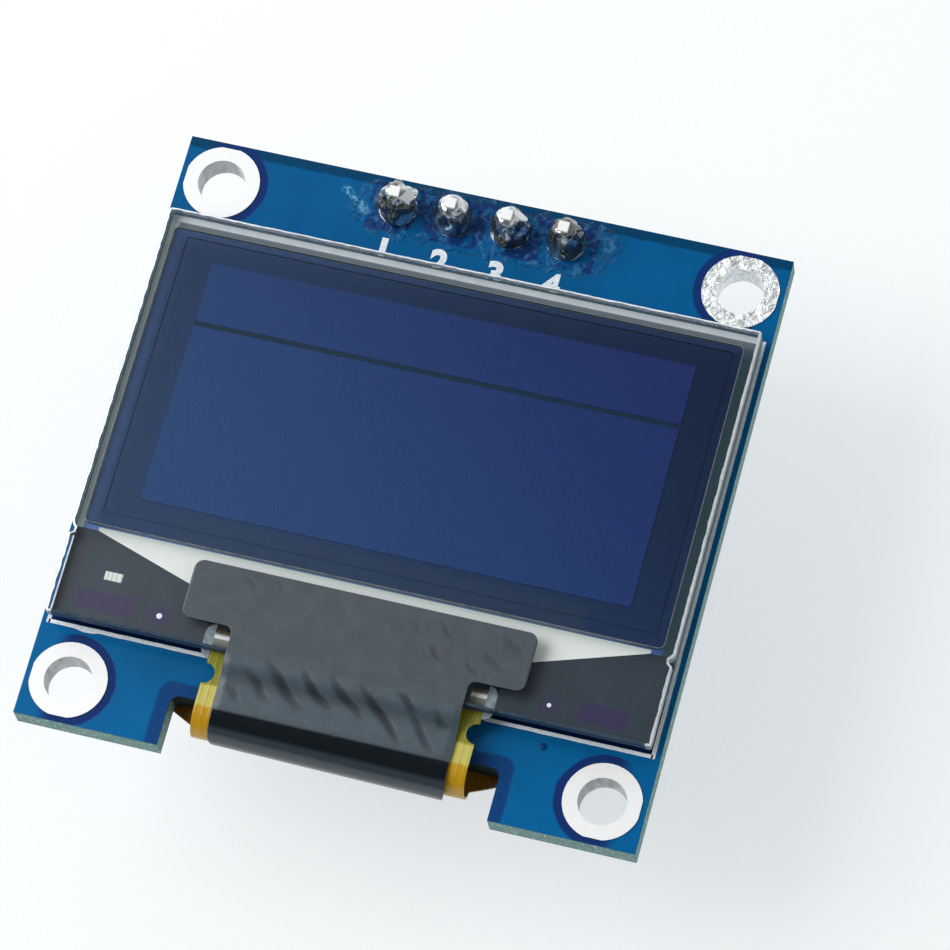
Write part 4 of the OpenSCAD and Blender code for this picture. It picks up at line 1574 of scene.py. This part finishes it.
        # Painted shade: the vias take a darker blue mask, standing for the shade in their small dimples.
        mask = SolderMask(copper_blue=(0.0, 0.05, 0.16))
        cover = mask.build(self.board, (far, far), (0.0, -far), nowhere, far)
        copies = NodeCopies("tented_vias", cover, seed=4)
        copies.dome()
        chance = random.Random(11)
        spots = [Vector((8.72, -10.12, self.board.high.z))]
        for row in range(4):
            for k in range(5 - row % 2):
                spots.append(Vector((-6.3 + 2.1 * k + chance.uniform(-0.5, 0.5),
                                     -1.4 + 2.3 * row + chance.uniform(-0.4, 0.4), 0.0)))
        spots += [Vector((x, 9.6, 0.0)) for x in (-8.2, -6.4, 7.6)]
        settle(copies.make(spots, Width=0.42, Height=0.06, Spread=0.8), "board")


# ---------------------------------------------------------------- the header


@dataclass(frozen=True)
class Lump:
    """A swelling of a solder joint: its angle, its share of the height, its size and its two widths."""

    angle: float
    level: float
    size: float
    width: float
    height: float

    def swell(self, angle: float, level: float) -> float:
        """How far the joint swells, in millimetres, at an angle and a share of its height."""
        turn = math.remainder(angle - self.angle, 2 * math.pi)
        return self.size * math.exp(-(turn / self.width) ** 2 - ((level - self.level) / self.height) ** 2)


@dataclass
class Header:
    """Four pins in black plastic behind the board, soldered from the front."""

    base_r: float = 0.85
    neck_r: float = 0.37
    climb: float = 1.7
    tip: float = 0.72
    end: float = 0.6
    levels: int = 30
    around: int = 64
    uneven: tuple[float, ...] = (0.3, 0.07, 0.15, 0.17)
    lumps: tuple[tuple[Lump, ...], ...] = (
        (Lump(0.3, 0.8, 0.4, 0.4, 0.16), Lump(-1.5, 0.4, 0.12, 0.5, 0.2), Lump(2.9, 0.35, 0.1, 0.6, 0.2)),
        (Lump(-0.2, 0.4, 0.08, 0.9, 0.3),),
        (Lump(-1.75, 0.34, 0.17, 0.4, 0.17), Lump(0.3, 0.4, 0.12, 0.6, 0.3)),
        (Lump(-1.45, 0.3, 0.14, 0.4, 0.17), Lump(0.3, 0.6, 0.16, 0.5, 0.22)),
    )

    def build(self) -> None:
        """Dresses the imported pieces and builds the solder."""
        dress(Moulding("header_plastic", (0.012, 0.012, 0.013), 0.42).build(), "header_body")
        metal = DrawnPin().build()
        solder = Solder().build()
        for i in range(1, 5):
            self.pin(i, metal)
            self.joint(i, solder)

    def pin(self, index: int, metal: Material) -> None:
        """Builds one square pin with swaged ends.

        Args:
            index: Number of the pin.
            metal: Material of the pin.
        """
        solid = Extent.of(f"header_pin_{index}")
        half = solid.size.x / 2
        rings = []
        for z, r in ((solid.low.z, half * self.end), (solid.low.z + 0.4, half),
                     (solid.high.z - 0.5, half), (solid.high.z, half * self.tip)):
            rings.append([Vector((solid.middle.x + sx * r, solid.middle.y + sy * r, z))
                          for sx, sy in ((-1, -1), (1, -1), (1, 1), (-1, 1))])
        piece = Piece(f"pin_{index}")
        piece.loft(rings, [0, 0, 0], (0, 0))
        settle(piece.make(metal), "pin_metal", f"header_pin_{index}")

    def joint(self, index: int, solder: Material) -> None:
        """Builds one uneven solder joint that climbs its pin.

        Args:
            index: Number of the pin.
            solder: Material of the solder.
        """
        centre = Extent.of(f"header_pin_{index}").middle
        base = Extent.of(f"header_pad_{index}").high.z
        piece = Piece(f"solder_{index}")
        shift = Vector((index * 17.3, index * 5.1, 0))
        rings = []
        for k in range(self.levels + 1):
            t = k / self.levels
            body = self.neck_r + (self.base_r - self.neck_r) * (1 - t ** 1.9) ** 0.8
            free = math.sin(math.pi * min(1.0, 0.06 + t * 0.94)) ** 0.5
            ring = []
            for i in range(self.around):
                a = 2 * math.pi * i / self.around
                p = Vector((math.cos(a) * 1.3, math.sin(a) * 1.3, t * 1.9)) + shift
                ripple = noise.noise(p * 1.2) + 0.4 * noise.noise(p * 2.7)
                r = body + free * self.uneven[index - 1] * ripple
                for lump in self.lumps[index - 1]:
                    r += lump.swell(a, t)
                ring.append(Vector((centre.x + r * math.cos(a), centre.y + r * math.sin(a),
                                    base + self.climb * t)))
            rings.append(ring)
        piece.loft(rings, [0] * self.levels, (0, 0))
        settle(piece.make(solder, smooth=True, angle=75), "solder", f"solder_joint_{index}")


# ---------------------------------------------------------------- the panel


@dataclass
class Panel:
    """Two glasses with the display's layers between them and a polarizing film in front."""

    clearance: float = 0.004
    arris: float = 0.1
    corner_r: float = 0.12
    nick_r: float = 0.2
    lip: float = 0.03
    film_tint: Colour = (0.42, 0.47, 0.5)

    def build(self) -> None:
        """Builds the glass and film and dresses the layers."""
        front = Extent.of("substrate_glass")
        cap = Extent.of("cap_glass")
        lit = Extent(Extent.of("lower_pixels").low, Extent.of("upper_pixels").high)
        dress(Moulding("black_foam", (0.012, 0.012, 0.012), 0.8, 0.03).build(), "panel_adhesive")
        dress(Grained.edge("cut_glass", (0.12, 0.2, 0.22), (0.015, 0.05, 0.07), 0.5).build(), "cap_glass")
        dress(PrintedLayer("getter", (0.5, 0.5, 0.47), (0.4, 0.4, 0.38)).build(), "getter_film")
        dress(PixelRows().build(lit), "upper_pixels", "lower_pixels")
        border = Border().build(Extent.of("seal_frame"), lit, Extent.of("polarizer"))
        dress(border, "cathode_film", "seal_frame")
        dress(LedgeFilm().build(Extent.of("electrode_film")), "electrode_film")
        dress(LeadFan().build(Extent.of("fan_leads")), "fan_leads")
        silicon = PrintedLayer("silicon", (0.05, 0.05, 0.06), (0.08, 0.08, 0.1), 4.0, 0.2)
        dress(silicon.build(), "driver_chip")
        self.front_glass(front, cap)
        self.polarizer(front)

    def front_glass(self, front: Extent, cap: Extent) -> None:
        """Builds the front glass with ground edges and the nicks beside its ledge.

        Args:
            front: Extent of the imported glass.
            cap: Extent of the rear glass, whose lower edge the nicks mark.
        """
        outline = rounded_outline(front.low.to_2d(), front.high.to_2d(), self.corner_r, 3)
        outline = walk_outline(outline, 0.14)
        nicked = []
        for x, y in outline:
            depth = 0.0
            if abs(y - cap.low.y) < self.nick_r and abs(x) > front.high.x - 0.02:
                depth = math.sqrt(max(0.0, self.nick_r ** 2 - (y - cap.low.y) ** 2))
            nicked.append((x - math.copysign(depth, x), y))
        grind, wear = [], []
        for x, y in nicked:
            p = Vector((x * 1.7, y * 1.7, 0.3))
            grind.append(self.arris * (1 + 0.35 * noise.noise(p * 2.2)))
            wear.append(0.02 * max(0.0, noise.noise(p * 1.3) - 0.25))
        rim = inset_outline(nicked, wear)
        inner = inset_outline(nicked, grind)
        low, high = front.low.z + self.clearance, front.high.z
        film = Extent.of("polarizer")
        covered = [(film.middle.x + (x - front.middle.x) * film.size.x / front.size.x,
                    film.middle.y + (y - front.middle.y) * film.size.y / front.size.y) for x, y in outline]
        rings = [at_height(rim, low),
                 [Vector((x, y, high - 0.9 * ground)) for (x, y), ground in zip(rim, grind)],
                 at_height(inner, high), at_height(covered, high)]
        piece = Piece("front_glass")
        piece.loft(rings, [1, 2, 0], (3, 3))
        # The lower edge gets dark finishes: an unground, chipped arris, and a face painted dark as painted
        # shade of the board seen through it under the ledge; the upper face gets a paler finish.
        for f in piece.mesh.faces:
            middle = f.calc_center_median() / MM
            if middle.y < front.low.y + self.arris * 1.2 and abs(middle.x) < front.high.x - 0.3:
                f.material_index = {1: 5, 2: 4}.get(f.material_index, f.material_index)
            elif middle.y > front.high.y - self.arris * 1.2 and f.material_index == 1:
                f.material_index = 6
        edge = Grained.edge
        obj = piece.make(ClearSheet("clear_glass", (0.97, 0.985, 0.98), 0.02, grain=0.0).build(),
                         edge("cut_edge", (0.5, 0.58, 0.62), (0.04, 0.1, 0.13), 0.6).build(),
                         edge("ground_arris", (0.96, 0.98, 1.0), (0.62, 0.68, 0.74), 0.95).build(),
                         UnseenBack("glass_back").build(),
                         edge("snapped_arris", (0.12, 0.19, 0.26), (0.01, 0.03, 0.05), 0.35).build(),
                         edge("snapped_edge", (0.02, 0.06, 0.13), (0.004, 0.016, 0.05), 0.6).build(),
                         edge("top_edge", (0.86, 0.9, 0.98), (0.3, 0.36, 0.44), 0.8).build())
        settle(obj, "front_glass", "substrate_glass")

    def polarizer(self, front: Extent) -> None:
        """Builds the polarizing film with a soft knife-cut edge.

        Args:
            front: Extent of the front glass that it lies on.
        """
        film = Extent.of("polarizer")
        outline = walk_outline(rounded_outline(film.low.to_2d(), film.high.to_2d(), 0.28), 0.4)
        low, high = front.high.z + self.clearance, film.high.z
        inner = inset_outline(outline, [self.lip] * len(outline))
        rings = [at_height(outline, low), at_height(outline, high - self.lip), at_height(inner, high)]
        piece = Piece("polarizing_film")
        piece.loft(rings, [1, 2], (3, 0))
        obj = piece.make(ClearSheet("polarizing_sheet", self.film_tint, 0.09, 0.002, 0.3).build(),
                         PrintedLayer("film_side", (0.03, 0.035, 0.045), (0.05, 0.06, 0.07)).build(),
                         Grained.edge("film_lip", (0.35, 0.4, 0.42), (0.1, 0.12, 0.14), 0.6).build(),
                         UnseenBack("film_back").build())
        settle(obj, "polarizer", "polarizer")


# ---------------------------------------------------------------- the flexible circuit


@dataclass
class FlexTail:
    """The flexible circuit round the notch, its marks, beads, lands and solder."""

    trace_pitch: float = 0.62
    traces: int = 30

    def build(self) -> None:
        """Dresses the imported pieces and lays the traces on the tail."""
        flex = Extent.of("flex_circuit")
        glass = Extent.of("substrate_glass")
        dress(Polyimide().build(flex, glass.low.y), "flex_circuit")
        dress(MarkSilver().build(Extent.of("flex_mark_left")), "flex_mark_left", "flex_mark_right")
        dress(CLOUDY_RESIN.build(), "resin_bead_left", "resin_bead_right")
        gilt = TinnedCopper("gilt_copper", (0.83, 0.66, 0.34), (0.6, 0.45, 0.2), 0.2, 0.25)
        dress(gilt.build(), "flex_lands")
        dress(Solder().build(), "flex_solder")
        tail = Polyimide(brown=(0.42, 0.16, 0.006)).build(flex, glass.low.y)
        traces = NodeCopies("tail_traces", tail, seed=2)
        traces.bar()
        lands = Extent.of("flex_lands")
        length = lands.low.y - flex.low.y - 1.4
        middle = lands.low.y - length / 2
        spots = [Vector(((i - (self.traces - 1) / 2) * self.trace_pitch, middle, flex.low.z))
                 for i in range(self.traces)]
        settle(traces.make(spots, Width=0.3, Length=length, Height=0.02, Spread=1.0), "flex")


@dataclass(frozen=True)
class Groove:
    """A pulled-in wrinkle of the tape: its two ends, half width, depth and the painted shade in it."""

    SPREAD = 1.35
    SHARP_SIDE = 0.6

    start: Point
    end: Point
    width: float
    depth: float
    shade: float

    def pull(self, x: float, y: float) -> float:
        """Tells how far the wrinkle is pulled in at a place.

        Args:
            x: Place across the tape.
            y: Place along Y.

        Returns:
            0 beside the wrinkle to 1 in its middle.
        """
        a, b = Vector(self.start), Vector(self.end)
        run = b - a
        u = (Vector((x, y)) - a).dot(run) / run.length_squared
        if not -0.02 < u < 1.02:
            return 0.0
        side = run.x * (y - a.y) - run.y * (x - a.x)
        across = side / run.length + 0.05 * math.sin(u * 7 + a.x)
        swell = max(0.02, math.sin(math.pi * held(u))) ** 0.7
        width = self.SPREAD * self.width * (0.35 + 0.65 * swell)
        width *= self.SHARP_SIDE if across > 0 else 1.0
        return swell * math.exp(-(across / width) ** 4)


@dataclass
class CoverTape:
    """Black tape that holds the flexible circuit's bond and follows it round the fold."""

    head_r: float = 0.42
    fillet_r: float = 0.35
    end_r: float = 0.35
    end_run: float = 0.95
    glue: float = 0.01
    drape: float = 1.5
    wrap: float = 112.0
    puff: float = 0.07
    slack: float = 0.09
    skew: float = 0.013
    lift: float = 0.022
    waviness: float = 0.012
    pull_share: float = 0.4
    mesh_pace: float = 0.085
    grooves: tuple[Groove, ...] = (
        Groove((-4.95, -10.7), (-4.05, -11.5), 0.19, 0.04, 0.5),
        Groove((-4.1, -10.0), (-2.85, -11.2), 0.21, 0.05, 0.7),
        Groove((-3.35, -9.55), (-1.4, -11.25), 0.22, 0.06, 0.85),
        Groove((-1.85, -9.6), (-0.15, -11.0), 0.2, 0.06, 0.85),
        Groove((-0.55, -9.55), (1.25, -11.05), 0.2, 0.06, 0.8),
        Groove((0.78, -9.55), (3.1, -11.75), 0.2, 0.065, 0.95),
        Groove((2.35, -9.62), (3.5, -10.2), 0.16, 0.05, 0.8),
        Groove((2.95, -10.1), (4.55, -11.85), 0.18, 0.05, 0.7),
        Groove((4.05, -10.0), (4.9, -10.65), 0.18, 0.05, 0.6),
        Groove((3.1, -7.25), (3.78, -7.92), 0.12, 0.02, 0.5),
        Groove((3.25, -6.1), (4.15, -6.9), 0.12, 0.02, 0.4),
        Groove((6.05, -6.0), (7.25, -7.1), 0.16, 0.02, 0.3),
        Groove((5.3, -6.9), (6.6, -7.9), 0.16, 0.02, 0.35),
        Groove((4.7, -7.45), (5.5, -8.3), 0.12, 0.02, 0.4),
        Groove((-5.4, -6.02), (-4.6, -6.65), 0.1, 0.02, 0.35),
        Groove((-4.05, -5.95), (-3.45, -6.4), 0.08, 0.015, 0.3),
        Groove((2.1, -6.45), (2.75, -6.9), 0.1, 0.015, 0.3),
    )

    def build(self) -> None:
        """Builds the tape."""
        self.tape = Extent.of("cover_tape")
        self.flex = Extent.of("flex_circuit")
        self.glass = Extent.of("substrate_glass")
        self.neck = self.tape_neck()
        self.bend_r = (self.flex.high.z - self.flex.low.z) / 2 + self.glue
        self.bend_z = (self.flex.high.z + self.flex.low.z) / 2
        self.bend_y = self.flex.low.y + self.bend_r - self.glue
        self.thick = self.tape.high.z - self.glass.high.z
        self.low_z = self.flex.high.z + self.glue
        drop = self.glass.high.z - self.low_z
        self.phi = 2 * math.atan(drop / self.drape)
        self.drape_r = self.drape / (2 * math.sin(self.phi))
        self.head = self.tape.high.y - self.glass.low.y
        self.run = self.glass.low.y - self.drape - self.bend_y
        arc = self.drape_r * self.phi
        self.stops = [self.head, self.head + arc, self.head + 2 * arc, self.head + 2 * arc + self.run]
        self.length = self.stops[3] + self.bend_r * math.radians(self.wrap)
        settle(self.sheet(), "tape", "cover_tape")

    def tape_neck(self) -> float:
        """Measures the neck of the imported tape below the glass.

        Returns:
            Its half width.
        """
        below = [v.co.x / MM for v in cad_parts["cover_tape"].data.vertices
                 if v.co.y / MM < self.glass.low.y - 1.5]
        return max(below)

    def head_height(self) -> float:
        """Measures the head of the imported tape.

        Returns:
            Its height.
        """
        wide = [v.co.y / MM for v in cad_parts["cover_tape"].data.vertices
                if abs(v.co.x / MM) > self.neck + self.fillet_r + 0.1]
        return self.tape.high.y - min(wide)

    def spot(self, x: float, s: float) -> tuple[Vector, Vector]:
        """Place and outward direction on the tape's lower side.

        Args:
            x: Place across the tape.
            s: Distance along the tape from its upper edge.

        Returns:
            The place and direction.
        """
        a, b, c, d = self.stops
        edge, top, r = self.glass.low.y, self.glass.high.z, self.drape_r
        if s <= a:
            return Vector((x, self.tape.high.y - s, top)), Vector((0, 0, 1))
        if s <= b:
            t = (s - a) / r
            n = Vector((0, -math.sin(t), math.cos(t)))
            return Vector((x, edge, top - r)) + n * r, n
        if s <= c:
            t = self.phi - (s - b) / r
            n = Vector((0, -math.sin(t), math.cos(t)))
            return Vector((x, edge - self.drape, self.low_z + r)) - n * r, n
        if s <= d:
            return Vector((x, edge - self.drape - (s - c), self.low_z)), Vector((0, 0, 1))
        t = (s - d) / self.bend_r
        n = Vector((0, -math.sin(t), math.cos(t)))
        loose = (self.slack + self.skew * x) * math.sin(min(t, math.pi / 2)) ** 2
        return Vector((x, self.bend_y, self.bend_z)) + n * (self.bend_r + max(0.0, loose)), n

    def outline(self) -> list[Point]:
        """Draws the flat outline of the tape.

        Returns:
            X across and the distance along it of each corner.
        """
        half, neck, head_h = self.tape.high.x, self.neck, self.head_height()
        bends = [(half - self.head_r, self.head_r, self.head_r, self.head_r, -90, 0),
                 (half - self.head_r, head_h - self.head_r, self.head_r, self.head_r, 0, 90),
                 (neck + self.fillet_r, head_h + self.fillet_r, self.fillet_r, self.fillet_r, -90, -180),
                 (neck - self.end_r, self.length - self.end_run, self.end_r, self.end_run, 0, 90)]
        right = []
        for x, s, wide, tall, start, end in bends:
            for i in range(8):
                a = math.radians(start + (end - start) * i / 7)
                right.append((x + wide * math.cos(a), s + tall * math.sin(a)))
        return right + [(-x, s) for x, s in reversed(right)]

    def wrinkle(self, x: float, y: float, s: float) -> tuple[float, float]:
        """Height of the tape above its smooth course and the painted shade in its wrinkles.

        Args:
            x: Place across the tape.
            y: Place along Y.
            s: Distance along the tape.

        Returns:
            The height in millimetres, never below the course, and the painted shade.
        """
        slack = held((s - self.head) / 0.5) * held((self.stops[3] + 0.1 - s) / 0.3)
        height = self.puff * slack * held((self.neck - abs(x)) * 4) + self.lift
        shade = 0.0
        for groove in self.grooves:
            pull = groove.pull(x, y)
            height -= self.pull_share * groove.depth * pull
            shade = max(shade, groove.shade * pull)
        height += self.waviness * (1 + noise.noise(Vector((x * 0.8, s * 0.8, 4.0)))) * max(0.2, slack)
        return max(0.0, height), shade if s < self.stops[3] + 0.05 else 0.0

    def sheet(self) -> bpy.types.Object:
        """Cuts the outline into small faces, wraps it and gives it its thickness.

        Returns:
            The finished tape.
        """
        piece = Piece("wrinkled_tape")
        bm = piece.mesh
        bm.faces.new([bm.verts.new((x, s, 0)) for x, s in self.outline()])
        half = self.tape.high.x
        cuts = [((0, s, 0), (0, 1, 0)) for s in self.paces(0, self.length)]
        cuts += [((x, 0, 0), (1, 0, 0)) for x in self.paces(-half, half)]
        for spot, direction in cuts:
            geometry = bm.verts[:] + bm.edges[:] + bm.faces[:]
            bmesh.ops.bisect_plane(bm, geom=geometry, dist=1e-5, plane_co=spot, plane_no=direction)
        bmesh.ops.remove_doubles(bm, verts=bm.verts[:], dist=1e-4)
        layer = bm.verts.layers.float.new("painted_crease_shade")
        for v in bm.verts:
            place, normal = self.spot(v.co.x, v.co.y)
            height, v[layer] = self.wrinkle(place.x, place.y, v.co.y)
            v.co = (place + normal * height) * MM
        bmesh.ops.recalc_face_normals(bm, faces=bm.faces[:])
        if sum(f.normal.z * f.calc_area() for f in bm.faces) < 0:
            bmesh.ops.reverse_faces(bm, faces=bm.faces[:])
        obj = piece.make(BlackTape().build(self.tape, self.glass.low.y), smooth=True, angle=60)
        thickness = obj.modifiers.new("thickness", "SOLIDIFY")
        thickness.thickness = self.thick * MM
        thickness.offset = 1.0
        return obj

    def paces(self, low: float, high: float) -> list[float]:
        """Even cuts between two ends, none of them on an end."""
        count = max(2, round((high - low) / self.mesh_pace))
        return [low + (high - low) * i / count + 0.0007 for i in range(1, count)]


# ---------------------------------------------------------------- behind the board


@dataclass
class RearParts:
    """Chips, regulator and their lands behind the board."""

    resistors: int = 5
    capacitors: int = 8

    def build(self) -> None:
        """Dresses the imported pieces."""
        glaze = PrintedLayer("resistor_glaze", (0.012, 0.012, 0.014), (0.02, 0.02, 0.024), 6.0, 0.25)
        tan = Moulding("capacitor_ceramic", (0.34, 0.22, 0.12), 0.5, 0.012).build()
        lands = TinnedCopper("land_copper", (0.85, 0.72, 0.42), (0.6, 0.5, 0.3), 0.15, 0.28)
        dress(glaze.build(), *(f"resistor_{i}" for i in range(1, self.resistors + 1)))
        dress(tan, *(f"capacitor_{i}" for i in range(1, self.capacitors + 1)))
        dress(lands.build(), "chip_lands")
        dress(TinnedCopper("terminal_tin", roughness=0.28, mottle=0.25).build(), "chip_terminals")
        dress(Moulding("regulator_plastic", (0.014, 0.014, 0.016), 0.5).build(), "regulator_body")
        dress(TinnedCopper("lead_tin", roughness=0.24).build(), "regulator_leads")


# ---------------------------------------------------------------- the studio


@dataclass
class Studio:
    """Pale floor, soft lamps and the camera."""

    camera_at: Triple = (43.88, -78.07, 219.79)
    looks_at: Triple = (2.732, 1.082, 1.2)
    upward: Triple = (-0.21005, 0.90596, 0.36758)
    lens: float = 208.85
    left_strength: float = 1.08
    right_strength: float = 0.55
    back_strength: float = 0.62
    glow_strength: float = 0.7
    base_strength: float = 0.135
    floor_share: float = 0.55
    key_at: Triple = (-205, -15, 205)
    key_size: float = 200
    key_power: float = 0.56

    def build(self) -> None:
        """Builds the whole studio."""
        self.camera()
        self.floor()
        self.surround()
        self.softbox("key", self.key_at, self.key_size, self.key_power)
        bpy.context.scene.view_settings.view_transform = "Standard"

    def camera(self) -> None:
        """Places the camera with its own roll."""
        data = bpy.data.cameras.new("camera")
        data.sensor_width = 36
        data.lens = self.lens
        data.clip_start = 0.005
        data.clip_end = 10
        obj = show("camera", data)
        eye = Vector(self.camera_at)
        back = (eye - Vector(self.looks_at)).normalized()
        right = Vector(self.upward).cross(back).normalized()
        up = back.cross(right)
        turn = Matrix((right, up, back)).transposed().to_4x4()
        obj.matrix_world = Matrix.Translation(eye * MM) @ turn
        bpy.context.scene.camera = obj

    def floor(self) -> None:
        """Lays a wide pale floor under the pins' ends."""
        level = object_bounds()[0][2] / MM - 0.02
        piece = Piece("studio_floor")
        r = 900.0
        piece.face([piece.corner(x, y, level) for x, y in ((-r, -r), (r, -r), (r, r), (-r, r))])
        g = Graph("pale_floor")
        cloud = g.noise(0.01, 2, 0.5)
        colour = g.blend(g.times(cloud, 0.1), (0.99, 0.96, 0.92), (0.97, 0.94, 0.9))
        paint = g.solid(Base_Color=colour, Roughness=0.9, Specular_IOR_Level=0.0)
        glow = g.add("ShaderNodeEmission")
        glow.inputs["Color"].default_value = (1.0, 1.06, 1.1, 1.0)
        glow.inputs["Strength"].default_value = 1.0
        path = g.add("ShaderNodeLightPath")
        seen = g.either(path.outputs["Is Camera Ray"], path.outputs["Is Glossy Ray"],
                        path.outputs["Is Transmission Ray"])
        mix = g.add("ShaderNodeMixShader")
        g.feed(mix.inputs[0], g.times(seen, self.floor_share))
        g.tree.links.new(paint, mix.inputs[1])
        g.tree.links.new(glow.outputs[0], mix.inputs[2])
        obj = piece.make(g.finish(mix.outputs[0]))
        obj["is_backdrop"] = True

    def surround(self) -> None:
        """Sets a soft surround: a broad bright side, a paler back and a dim front."""
        g = SkyGraph("surround")
        x, y, z = g.parts()
        side = g.plus(g.times(x, -1.0), g.times(y, 0.3))
        above = g.step(z, -0.05, 0.1)
        left = g.times(g.times(g.step(side, 0.22, 0.75), above), self.left_strength)
        right = g.times(g.times(g.step(x, 0.25, 0.7), above), self.right_strength)
        back = g.times(g.step(y, 0.4, 0.85), self.back_strength)
        glow = g.times(g.step(g.reach(-0.36, 0.24), 0.27, 0.02), self.glow_strength)
        light = g.plus(g.plus(left, right), g.plus(back, glow))
        light = g.plus(light, self.base_strength)
        lamp = g.add("ShaderNodeBackground")
        lamp.inputs["Color"].default_value = (0.96, 0.985, 1.0, 1.0)
        g.feed(lamp.inputs["Strength"], light)
        g.tree.links.new(lamp.outputs[0], g.output.inputs["Surface"])
        bpy.context.scene.world = g.world

    def softbox(self, name: str, at: Triple, size: float, watts: float) -> None:
        """Hangs a square area lamp that faces the object.

        Args:
            name: Name of the lamp.
            at: Its place in millimetres.
            size: Its edge in millimetres.
            watts: Its power.
        """
        data = bpy.data.lights.new(name, "AREA")
        data.shape = "SQUARE"
        data.size = size * MM
        data.energy = watts
        obj = show(name, data)
        eye = Vector(at)
        turn = (-eye).to_track_quat("-Z", "Y").to_matrix().to_4x4()
        obj.matrix_world = Matrix.Translation(eye * MM) @ turn


def main() -> None:
    """Builds every part in order."""
    logging.basicConfig(level=logging.INFO, format="%(name)s %(message)s")
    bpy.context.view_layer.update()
    for part in (Carrier(), Header(), Panel(), FlexTail(), CoverTape(), RearParts()):
        part.build()
        LOG.info("%s done", type(part).__name__)
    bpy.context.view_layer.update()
    Studio().build()


if __name__ == "__main__":
    main()
